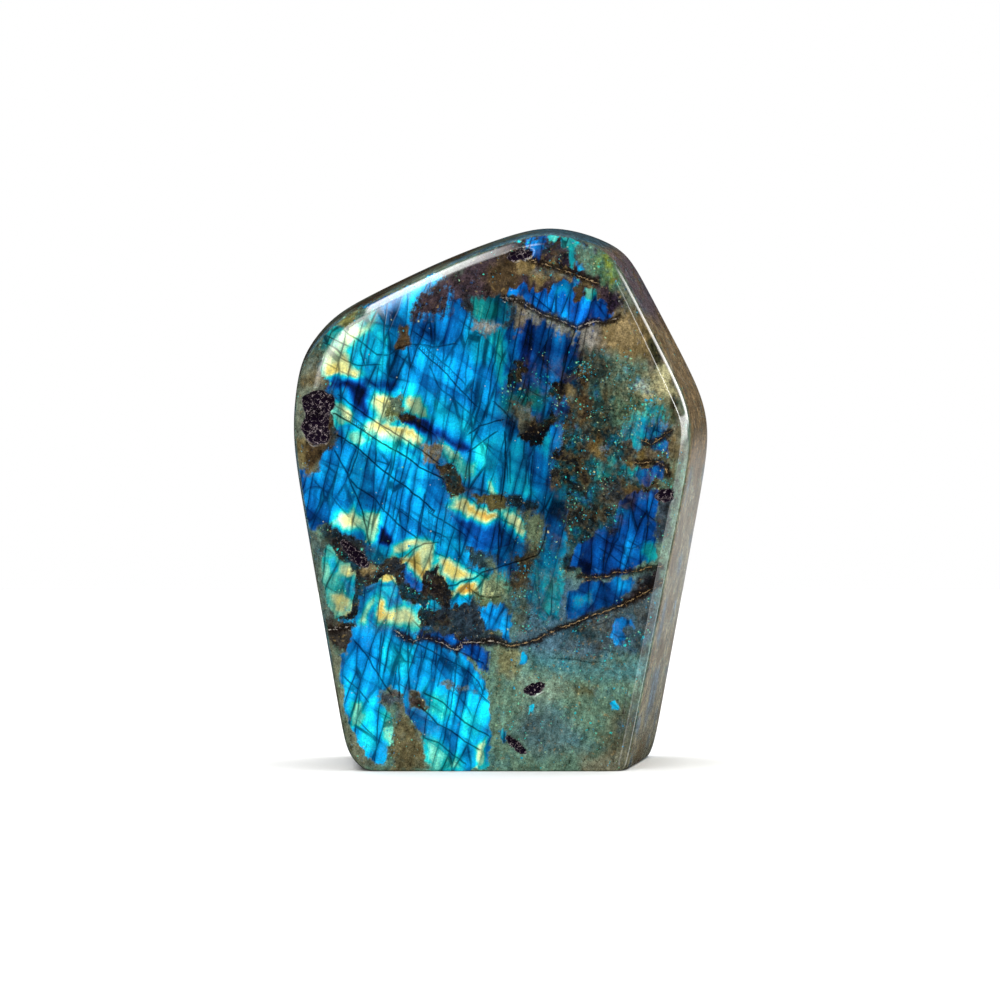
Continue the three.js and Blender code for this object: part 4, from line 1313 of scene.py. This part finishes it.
@dataclass(frozen=True)
class Labradorite:
    """Polished labradorite: a plagioclase feldspar, ground and then buffed to a wet-looking gloss.

    Layers inside it that are thinner than light's wavelength throw back one colour each, which gives
    the eye sheets of blue, cyan and gold that stop at the planes where the crystal parts. Between them
    lies a dark, olive to brown matrix with small crystals. It is as clear a gloss as glass, with an
    index of 1.56, but for the crumbly floors of its pits.
    """

    ior: float = 1.56
    gloss: float = 0.05                 # roughness of the buffed surface
    dull: float = 0.85                  # and of a pit's floor
    cleavage: Cleavage = field(default_factory=Cleavage)
    # Sizes in mm: across, through and along the planes that each pattern follows.
    hairs: Triple = (0.75, 6.0, 14.0)   # fine combed streaks
    shafts: Triple = (2.4, 8.0, 20.0)   # broad streaks
    blocks: Triple = (3.0, 9.0, 22.0)   # blocks between the steep planes
    slabs: Triple = (20.0, 8.0, 5.5)    # blocks between the falling planes
    splits: Triple = (1.9, 7.0, 22.0)   # hair cracks along the steep planes
    rips: Triple = (22.0, 7.0, 3.2)     # and along the falling ones
    streaks: Triple = (1.1, 3.0, 7.0)   # the matrix, combed along the steep planes
    cloud: float = 3.4                  # mottling of the matrix
    grain: float = 0.30                 # texture of the rock, drawn as fine as it shows
    # Colour ramps: places from 0 to 1 and the colours there.
    flash_stops: Stops = (
        (0.0, "#06163C"), (0.13, "#062F78"), (0.26, "#0758B0"), (0.38, "#0782D2"), (0.48, "#08A0E2"),
        (0.58, "#0CB9DE"), (0.68, "#1ECDC9"), (0.79, "#93E4BE"), (0.87, "#DFF0B2"), (0.93, "#E8DC7C"),
        (1.0, "#D2983E"))
    crystal_stops: Stops = (
        (0.0, "#0A0B0D"), (0.2, "#1E1711"), (0.34, "#43341E"), (0.46, "#5C5236"), (0.55, "#35443C"),
        (0.64, "#1C4548"), (0.74, "#15606C"), (0.85, "#104E7C"), (1.0, "#1B8FA4"))
    glint_stops: Stops = (
        (0.0, "#0E8FC4"), (0.35, "#18B4C8"), (0.65, "#35CDB4"), (0.85, "#8FD8A8"), (1.0, "#D8C890"))

    def make(self) -> bpy.types.Material:
        """Make the material, from the colours in the stone to the polish over them."""
        material = bpy.data.materials.new("polished_labradorite")
        tree = blank(material)
        place = self.place(tree)
        sparkle, crumb, front = self.painted(tree, "crystal")
        grain = self.noise(tree, place, self.grain, 2.0)
        parts = self.partings(tree, place)
        lit, shows = self.flashes(tree, place, parts, grain)
        mixed = add(tree, "Mix RGBA", shows, self.matrix(tree, place), lit)
        mixed = self.crystals(tree, place, mixed, sparkle, shows)
        cracks = self.cracks(tree, place, parts, shows)
        mixed = add(tree, "VectorMath SCALE", mixed, add(tree, "MapRange", cracks, 0, 1, 1, 0.1))
        mixed, ridges = self.healed(tree, place, mixed)
        mixed = self.crumb(tree, place, mixed, crumb)
        # painted glints: tiny pale specks over everything
        mixed = self.painted_glints(tree, place, mixed)
        # the grain dims and brightens the matrix of the face most
        depth = chain(tree, "Math MULTIPLY", add(tree, "MapRange", shows, 0, 1, 0.5, 0.2),
                      add(tree, "MapRange", front, 0, 1, 0.25, 1))
        speckle = add(tree, "Math MULTIPLY_ADD", add(tree, "Math MULTIPLY_ADD", grain, 2, -1), depth, 1)
        mixed = add(tree, "VectorMath SCALE", mixed, speckle)
        rough = add(tree, "MapRange", crumb, 0, 1, self.gloss, self.dull)
        sheen = add(tree, "MapRange", crumb, 0, 1, 0.5, 0.08)
        height = add(tree, "Math MULTIPLY_ADD", cracks, -0.6, ridges)
        relief = add(tree, "Bump", add(tree, "Math MULTIPLY", front, 0.2), 0.05 * MM, height=height)
        surface = add(tree, "BsdfPrincipled", mixed, ior=self.ior, roughness=rough, normal=relief,
                      specular_ior_level=sheen)
        add(tree, "OutputMaterial", surface)
        return material

    def place(self, tree: Tree) -> Node:
        """The place in the stone in millimetres, moved a little by noise so that no pattern is straight."""
        place = add(tree, "VectorMath SCALE", add(tree, "TexCoord").outputs["Object"], 1 / MM)
        bend = add(tree, "TexNoise", place, scale=1 / 8, detail=2.0)
        return add(tree, "VectorMath MULTIPLY_ADD", bend.outputs["Color"], (1.3, 1.3, 1.3), place)

    def noise(self, tree: Tree, place: Source, size: float = 1.0, detail: float = 3.0,
              offset: float = 0.0) -> Node:
        """Noise stretched to run from 0 to 1, with waves of a size in mm."""
        wave = add(tree, "TexNoise 4D", place, w=offset, scale=1 / size, detail=detail, roughness=0.62)
        return add(tree, "MapRange", wave, 0.3, 0.7)

    def painted(self, tree: Tree, name: str) -> tuple[Socket, ...]:
        """The three values that are painted on the surface's points under a name."""
        held = add(tree, "Attribute", attribute_name=name)
        return tuple(add(tree, "SeparateXYZ", held.outputs["Vector"]).outputs)

    def turned(self, tree: Tree, place: Source, size: Triple, slope: float) -> Node:
        """The place measured across, through and along planes of a slope, in a pattern's own sizes."""
        return add(tree, "Mapping TEXTURE", place, rotation=(0.0, math.radians(slope), 0.0), scale=size)

    @property
    def slopes(self) -> tuple[float, float]:
        """How far the steep planes stand off upright, and how far the falling ones lie off level."""
        return 90 - self.cleavage.steep, -self.cleavage.falling

    def partings(self, tree: Tree, place: Source) -> Parts:
        """The blocks between the steep planes and those between the falling ones.

        Returns:
            For each family a value of its own for each block, and how far the block's edge is.
        """
        parts = []
        for size, slope in zip((self.blocks, self.slabs), self.slopes):
            at = self.turned(tree, place, size, slope)
            cells = add(tree, "TexVoronoi", at, scale=1)
            value = add(tree, "SeparateColor", cells.outputs["Color"]).outputs[0]
            parts.append((value, add(tree, "TexVoronoi DISTANCE_TO_EDGE", at, scale=1).outputs["Distance"]))
        return parts

    def flashes(self, tree: Tree, place: Source, parts: Parts, grain: Source) -> tuple[Source, Source]:
        """The colour of the flash and how far it shows.

        The painted level gives the colour. Streaks and the blocks between the planes move it, and dim
        and brighten it too. Each block is brightest in its middle.

        Returns:
            The colour, and its share.
        """
        painted_level, strength, shade = self.painted(tree, "flash")
        hairs = self.noise(tree, self.turned(tree, place, self.hairs, self.slopes[0]))
        shafts = self.noise(tree, self.turned(tree, place, self.shafts, self.slopes[0]), detail=2.0)
        (block, block_edge), (slab, slab_edge) = parts
        glows = [add(tree, "MapRange SMOOTHSTEP", edge, 0, reach)
                 for edge, reach in ((block_edge, 0.24), (slab_edge, 0.2))]
        moves, dims = [], [shade]
        for value, change, low, high in (
                (hairs, 0.06, 0.80, 1.24), (shafts, 0.07, 0.88, 1.16), (block, 0.10, 0.80, 1.32),
                (slab, 0.07, 0.86, 1.24), (glows[0], 0.05, 0.70, 1.18), (glows[1], 0.03, 0.82, 1.10),
                (self.noise(tree, place, 7.0, 2.0, 31.0), 0.12, 0.84, 1.28),
                (self.noise(tree, place, 0.5, 3.0, 33.0), 0.03, 0.82, 1.20)):
            moves.append(add(tree, "MapRange", value, 0, 1, -change / 2, change / 2))
            dims.append(add(tree, "MapRange", value, 0, 1, low, high))
        sway = add(tree, "MapRange", painted_level, 0.5, 1, 1, 0.35)
        level = add(tree, "Math MULTIPLY_ADD", chain(tree, "Math ADD", *moves), sway, painted_level)
        colour = add(tree, "ValToRGB", level, stops=self.flash_stops)
        lit = add(tree, "VectorMath SCALE", colour, chain(tree, "Math MULTIPLY", *dims))
        ragged = strength
        for value, share in ((hairs, 0.35), (self.noise(tree, place, 1.3, 5.0, 21.0), 0.65), (grain, 0.2)):
            ragged = add(tree, "Math MULTIPLY_ADD", value, share, ragged)
        return lit, add(tree, "MapRange SMOOTHSTEP", ragged, 0.82, 1.45)

    def matrix(self, tree: Tree, place: Source) -> Source:
        """The colour of the matrix: the painted ground, mottled, with rusty and inky clouds, gold flecks and
        black ones, and black lumps and pale grains where the ground is dark."""
        ground = add(tree, "Attribute", attribute_name="ground").outputs["Vector"]
        combed = self.noise(tree, self.turned(tree, place, self.streaks, self.slopes[0]), detail=4.0)
        tone = [add(tree, "MapRange", wave, 0, 1, low, high) for wave, low, high in (
            (self.noise(tree, place, self.cloud, 6.0), 0.6, 1.35),
            (self.noise(tree, place, 1.1, 6.0, 13.0), 0.45, 1.6), (combed, 0.62, 1.4))]
        mottled = add(tree, "VectorMath SCALE", ground, chain(tree, "Math MULTIPLY", *tone))
        deep = add(tree, "MapRange", add(tree, "RGBToBW", ground), 0, 0.1, 1, 0)
        for size, offset, low, most, colour, where in (
                (2.4, 3.0, 0.7, 0.45, "#6E5630", None), (2.4, 7.0, 0.75, 0.75, "#14140F", None),
                (0.8, 17.0, 0.72, 0.65, "#A08656", None), (0.9, 19.0, 0.72, 0.85, "#100E0C", None),
                (1.3, 37.0, 0.4, 0.9, "#08080A", deep), (0.6, 39.0, 0.74, 0.6, "#7A6C4C", deep)):
            stain = self.noise(tree, place, size, 5.0, offset)
            stained = add(tree, "MapRange SMOOTHSTEP", stain, low, low + 0.25, 0, most)
            if where:
                stained = add(tree, "Math MULTIPLY", stained, where)
            mottled = add(tree, "Mix RGBA", stained, mottled, colour)
        return mottled

    def crystals(self, tree: Tree, place: Source, under: Source, amount: Source, shows: Source) -> Source:
        """Small crystals over a colour: clouds of them in the sparkling zones, and single ones that glint.

        Outside those zones the matrix has only a sprinkle of glints, and the flashes fewer still. They
        crowd together where one noise is high.
        """
        cloud = self.noise(tree, place, 4.6, 2.5, 5.0)
        lumps = self.noise(tree, place, 0.9, 6.0, 11.0)
        hue = add(tree, "Math ADD", cloud, add(tree, "Math MULTIPLY_ADD", lumps, 0.28, -0.14))
        colour = add(tree, "ValToRGB", hue, stops=self.crystal_stops)
        hollow = add(tree, "MapRange", self.noise(tree, place, 2.0, 5.0, 27.0), 0.54, 0.7, 0, 0.92)
        clouds = add(tree, "Mix RGBA", hollow, colour, "#0B0C0E")
        under = add(tree, "Mix RGBA", add(tree, "Math MULTIPLY", amount, 0.62), under, clouds)
        # a mosaic of dark and bright grains, stronger in the matrix than in a flash
        swing = add(tree, "MapRange", self.noise(tree, place, 0.7, 4.0, 47.0), 0, 1, -0.85, 1)
        swing = add(tree, "Math MULTIPLY", swing, amount)
        swing = add(tree, "Math MULTIPLY_ADD", swing, add(tree, "MapRange", shows, 0, 1, 1, 0.3), 1)
        under = add(tree, "VectorMath SCALE", under, swing)
        amount = add(tree, "Math MAXIMUM", amount, add(tree, "MapRange", shows, 0, 1, 0.16, 0.06))
        crowd = add(tree, "MapRange", self.noise(tree, place, 3.2, 2.0, 23.0), 0.4, 1, 0.05, 2.8)
        amount = add(tree, "Math MULTIPLY", amount, crowd)
        jolt = add(tree, "TexNoise", place, scale=1 / 0.45, detail=2.0)
        jolted = add(tree, "VectorMath MULTIPLY_ADD", jolt.outputs["Color"], (0.7, 0.7, 0.7), place)
        for size, offset, density in ((0.85, 0.0, 0.16), (0.6, 40.0, 0.30), (0.42, 90.0, 0.42)):
            at = add(tree, "VectorMath ADD", jolted, (offset, offset, offset))
            cells = add(tree, "TexVoronoi", at, scale=1 / size)
            hue, chance, width = add(tree, "SeparateColor", cells.outputs["Color"]).outputs
            dot = add(tree, "Math SUBTRACT", add(tree, "MapRange", width, 0, 1, 0.5, 0.1),
                      cells.outputs["Distance"])
            picked = add(tree, "Math LESS_THAN", chance,
                         add(tree, "Math MULTIPLY_ADD", amount, density, -0.01))
            share = add(tree, "Math MULTIPLY", add(tree, "MapRange", dot, 0, 0.25), picked)
            under = add(tree, "Mix RGBA", share, under, add(tree, "ValToRGB", hue, stops=self.glint_stops))
        return under

    def painted_glints(self, tree: Tree, place: Source, under: Source) -> Source:
        """Pale specks over a colour: painted glints, tiny points of light scattered over the polish."""
        cells = add(tree, "TexVoronoi", place, scale=1 / 1.5)
        chance = add(tree, "SeparateColor", cells.outputs["Color"]).outputs[0]
        least = add(tree, "MapRange", chance, 0.72, 1, 0, 0.13)
        dot = add(tree, "Math SUBTRACT", least, cells.outputs["Distance"])
        return add(tree, "Mix RGBA", add(tree, "MapRange", dot, 0, 0.05, 0, 0.75), under, "#B9C2B4")

    def cracks(self, tree: Tree, place: Source, parts: Parts, shows: Source) -> Source:
        """How dark the cleavage cracks are: thin lines between the blocks and hair cracks, which come
        and go, and the painted seams."""
        comes = self.noise(tree, place, 9.0, 2.0, 9.0)
        lines = [(edge, 0.35 * width, width, 0.8, least)
                 for (_, edge), width, least in zip(parts, (0.05, 0.035), (0.1, 0.35))]
        for size, slope in zip((self.splits, self.rips), self.slopes):
            wave = add(tree, "TexNoise", self.turned(tree, place, size, slope), scale=1, detail=1)
            off = add(tree, "Math ABSOLUTE", add(tree, "Math SUBTRACT", wave, 0.5))
            lines.append((off, 0.004, 0.026, 0.6, 0.45))
        darks = []
        for away, inner, outer, most, least in lines:
            line = add(tree, "MapRange SMOOTHSTEP", away, inner, outer, most, 0)
            there = add(tree, "MapRange", comes, least, least + 0.5)
            darks.append(chain(tree, "Math MULTIPLY", line, there, shows))
        for kind in (SeamKind.FALLING, SeamKind.RISING):
            signed, nearest, strength = self.painted(tree, kind.value)
            line = add(tree, "MapRange SMOOTHSTEP", add(tree, "Math ABSOLUTE", signed), 0.03, 0.34, 1, 0)
            near = add(tree, "MapRange", nearest, 0.4, 0.7, 1, 0)
            darks.append(chain(tree, "Math MULTIPLY", line, near, strength))
        return chain(tree, "Math MAXIMUM", *darks)

    def healed(self, tree: Tree, place: Source, under: Source) -> tuple[Source, Source]:
        """The healed seams over a colour: a dark crumbled band, pale and gold grains in it, and a thin
        ragged line of the same mineral that comes and goes."""
        signed, nearest, gold = self.painted(tree, SeamKind.HEALED.value)
        jolt = add(tree, "TexNoise", place, scale=1 / 1.1, detail=5, roughness=0.75)
        reach = add(tree, "Math MULTIPLY_ADD", jolt, 2.4, nearest)
        band = add(tree, "MapRange SMOOTHSTEP", reach, 1.5, 2.5, 0.92, 0)
        under = add(tree, "Mix RGBA", band, under, "#17100D")
        bent = add(tree, "Math ADD", add(tree, "Math MULTIPLY_ADD", jolt, 1.7, -0.85), signed)
        bits = self.noise(tree, place, 1.2, 4.0, 29.0)
        wide = add(tree, "MapRange", bits, 0.3, 1, 0.03, 0.22)
        line = chain(tree, "Math MULTIPLY",
                     add(tree, "MapRange", add(tree, "Math ABSOLUTE", bent), 0.02, wide, 1, 0),
                     add(tree, "MapRange", nearest, 0.7, 1, 1, 0),
                     add(tree, "MapRange", bits, 0.3, 0.65, 0, 0.85))
        grains = add(tree, "MapRange", self.noise(tree, place, 0.6, 3.0, 35.0), 0.78, 0.95, 0, 0.6)
        line = add(tree, "Math MAXIMUM", line, add(tree, "Math MULTIPLY", grains, band))
        colour = add(tree, "Mix RGBA", gold, "#C4BCB0", "#B8904C")
        return add(tree, "Mix RGBA", line, under, colour), line

    def crumb(self, tree: Tree, place: Source, under: Source, amount: Source) -> Source:
        """The crumbly floor of the pits over a colour: dark plum under a thin net of pale crystals, whose
        bright lines are painted glints.
        """
        jolt = add(tree, "TexNoise", place, scale=1 / 0.7, detail=4)
        moved = add(tree, "VectorMath MULTIPLY_ADD", jolt.outputs["Color"], (1.8, 1.8, 1.8), place)
        net = add(tree, "TexVoronoi DISTANCE_TO_EDGE", moved, scale=1 / 1.25)
        # painted glints: the pale net's bright lines
        pale = add(tree, "Math MULTIPLY", add(tree, "MapRange SMOOTHSTEP", net, 0.006, 0.034, 1, 0),
                   add(tree, "MapRange", jolt, 0.43, 0.56))
        floor = add(tree, "Mix RGBA", pale, "#120618", "#CDBDBE")
        return add(tree, "Mix RGBA", add(tree, "MapRange", amount, 0.25, 0.55), under, floor)


def sheet(name: str, wide: float, deep: float, finish: bpy.types.Material) -> bpy.types.Object:
    """Make a flat rectangle for the stage, from half its width and depth in metres."""
    mesh = bpy.data.meshes.new(name)
    mesh.from_pydata([(-wide, -deep, 0), (wide, -deep, 0), (wide, deep, 0), (-wide, deep, 0)], [],
                     [(0, 1, 2, 3)])
    mesh.materials.append(finish)
    thing = bpy.data.objects.new(name, mesh)
    return thing


@dataclass(frozen=True)
class Panel:
    """A rectangle that glows towards the stone.

    facing is where it lies round the picture, in degrees from +X towards +Z, and off is its angle from
    the line to the viewer. size is its width round the picture and its depth off that line, and roll
    turns both about the middle. Lengths are in millimetres, and a glow of 1 is white.
    """

    name: str
    facing: float
    off: float
    distance: float
    size: tuple[float, float]
    glow: float
    roll: float = 0.0

    def set_up(self, thing: bpy.types.Object, aim: Vector) -> None:
        """Put the panel's object in its place, turned to face the stone, and into the scene."""
        turn, off = math.radians(self.facing), math.radians(self.off)
        away = Vector((math.sin(off) * math.cos(turn), -math.cos(off), math.sin(off) * math.sin(turn)))
        round_picture = Vector((-math.sin(turn), 0.0, math.cos(turn)))
        inward, roll = away.cross(round_picture), math.radians(self.roll)
        wide = round_picture * math.cos(roll) + inward * math.sin(roll)
        axes = Matrix((wide, away.cross(wide), away)).transposed()
        thing.matrix_world = Matrix.Translation(aim + away * self.distance * MM) @ axes.to_4x4()
        bpy.context.scene.collection.objects.link(thing)


@dataclass(frozen=True)
class SoftBox(Panel):
    """A soft box that lights the stone. The polish doesn't mirror it."""

    def make(self, aim: Vector) -> None:
        """Make the light."""
        data = bpy.data.lights.new(self.name, "AREA")
        data.shape = "RECTANGLE"
        data.size, data.size_y = (side * MM for side in self.size)
        data.energy = self.glow * math.pi * data.size * data.size_y
        light = bpy.data.objects.new(self.name, data)
        light.visible_glossy = False
        self.set_up(light, aim)


@dataclass(frozen=True)
class Card(Panel):
    """A sheet of light that is only seen mirrored in the polish, and adds to what lies behind it.

    fades are the shares of its width and depth over which it dims towards its edges: from the side where
    facing is least, where it is most, nearest to the viewer's line and farthest from it.
    """

    fades: tuple[float, float, float, float] = (0.1, 0.1, 0.1, 0.1)

    def make(self, aim: Vector) -> None:
        """Make the card."""
        card = sheet(self.name, *(side * MM / 2 for side in self.size), self.paint())
        for ray in ("camera", "diffuse", "transmission", "volume_scatter", "shadow"):
            setattr(card, "visible_" + ray, False)
        self.set_up(card, aim)

    def paint(self) -> bpy.types.Material:
        """The card's own glow: even in the middle and smoothly dimmer towards its edges."""
        material = bpy.data.materials.new(self.name)
        material.cycles.emission_sampling = "NONE"
        tree = blank(material)
        place = add(tree, "SeparateXYZ", add(tree, "TexCoord").outputs["Object"]).outputs
        rises = []
        for axis, sign, fade in zip((0, 0, 1, 1), (1, -1, -1, 1), self.fades):
            inward = add(tree, "Math MULTIPLY_ADD", place[axis], sign / (self.size[axis] * MM), 0.5)
            rises.append(add(tree, "MapRange SMOOTHSTEP", inward, 0, fade))
        light = add(tree, "Emission", strength=chain(tree, "Math MULTIPLY", *rises, self.glow))
        both = add(tree, "AddShader", light, add(tree, "BsdfTransparent"))
        add(tree, "OutputMaterial", both)
        return material


@dataclass
class Studio:
    """The pale table top, the lights and the camera."""

    aim: Triple = (-0.25, -0.4, 59.57)   # the point in the middle of the picture
    distance: float = 1200.0
    height: float = 2.0                  # the camera looks down by this, in degrees
    lens: float = 191.5
    sensor: float = 36.0
    floor: float = 750.0                 # half the table's width
    fill: float = 0.2                    # light from all round
    mirrored: float = 0.012              # and how much of it the polish shows
    lights: tuple[Panel, ...] = (
        SoftBox("ceiling", 90, 96, 1500, (2600, 2600), 2.6),
        SoftBox("front_left", 140, 40, 1300, (900, 900), 1.9),
        # the pale arc along the slope, the haze at its left-hand end and its tail along the crown
        Card("arc", 110.4, 85.8, 1000, (285, 1850), 14.5, 1, (0.7, 0.02, 0.2, 0.44)),
        Card("arc_end", 123.6, 30.5, 990, (261, 780), 7.8, -13.9, (0.39, 0.35, 0.22, 0.24)),
        Card("arc_tail", 101.8, 50.1, 980, (286, 256), 10.3, 5, (0.52, 0.84, 0.02, 0.55)),
        # the two lines along the narrow flat beside the slope, and the corner where the second swells
        Card("line_inner", 24, 57, 970, (360, 170), 24.0, 0, (0.6, 0.6, 0.5, 0.5)),
        Card("line_outer", 20, 112, 960, (600, 520), 11.5, 0, (0.4, 0.45, 0.35, 0.35)),
        Card("corner", 7, 77, 950, (400, 1040), 9.6, 0, (0.3, 0.1, 0.12, 0.12)),
        # the veil on the lower flat, its two edges, and what the flank mirrors
        Card("veil", -7, 88, 940, (420, 1100), 2.6, 0, (0.5, 0.5, 0.1, 0.1)),
        Card("low_inner", -14, 56, 930, (420, 200), 3.5, 0, (0.3, 0.3, 0.5, 0.5)),
        Card("low_outer", -16, 122, 920, (420, 200), 3.5, 0, (0.3, 0.3, 0.5, 0.5)),
        Card("flank", -16, 158, 910, (230, 560), 0.42, 0, (0.5, 0.5, 0.3, 0.3)),
    )

    def make(self) -> None:
        """Make the floor, the lights, the world and the camera."""
        aim = Vector(self.aim) * MM
        self.make_floor()
        for light in self.lights:
            light.make(aim)
        self.make_world()
        self.make_camera(aim)
        log.info("studio: %d lights", len(self.lights))

    def make_camera(self, aim: Vector) -> None:
        """Aim a long lens at the stone, level but for a slight look down."""
        data = bpy.data.cameras.new("camera")
        data.lens, data.sensor_width = self.lens, self.sensor
        data.clip_start, data.clip_end = 0.05, 20.0
        camera = bpy.data.objects.new("camera", data)
        rise = math.radians(self.height)
        away = Vector((0.0, -math.cos(rise), math.sin(rise)))
        camera.location = aim + away * self.distance * MM
        camera.rotation_euler = away.to_track_quat("Z", "Y").to_euler()
        bpy.context.scene.collection.objects.link(camera)
        bpy.context.scene.camera = camera

    def make_floor(self) -> None:
        """Make the floor: one flat white table top, which the polish doesn't mirror."""
        floor = sheet("floor", self.floor * MM, self.floor * MM, self.paper())
        floor.visible_glossy = False
        bpy.context.scene.collection.objects.link(floor)

    @staticmethod
    def paper() -> bpy.types.Material:
        """Matt white background paper, pressed smooth, with a faint tooth."""
        material = bpy.data.materials.new("background_paper")
        tree = blank(material)
        own = add(tree, "TexCoord").outputs["Object"]
        tooth = add(tree, "TexNoise", own, scale=900, detail=2)
        colour = add(tree, "Mix RGBA", tooth, "#F4F4F3", "#F9F9F8")
        surface = add(tree, "BsdfPrincipled", colour, roughness=0.95, specular_ior_level=0.1)
        add(tree, "OutputMaterial", surface)
        return material

    def make_world(self) -> None:
        """Make the room: white where the camera sees it, and else a dim even light."""
        world = bpy.data.worlds.new("studio")
        tree = blank(world)
        seen = add(tree, "LightPath")
        glow = add(tree, "MapRange", seen.outputs["Is Glossy Ray"], 0, 1, self.fill, self.mirrored)
        glow = add(tree, "Math MAXIMUM", glow, seen.outputs["Is Camera Ray"])
        light = add(tree, "Background", "#FFFFFF", glow)
        add(tree, "OutputWorld", light)
        bpy.context.scene.world = world


def main() -> None:
    """Build the studio and the stone."""
    logging.basicConfig(level=logging.INFO, format="%(message)s")
    bpy.context.scene.view_settings.view_transform = "Standard"
    Studio().make()
    Stone().make()


if __name__ == "__main__":
    main()
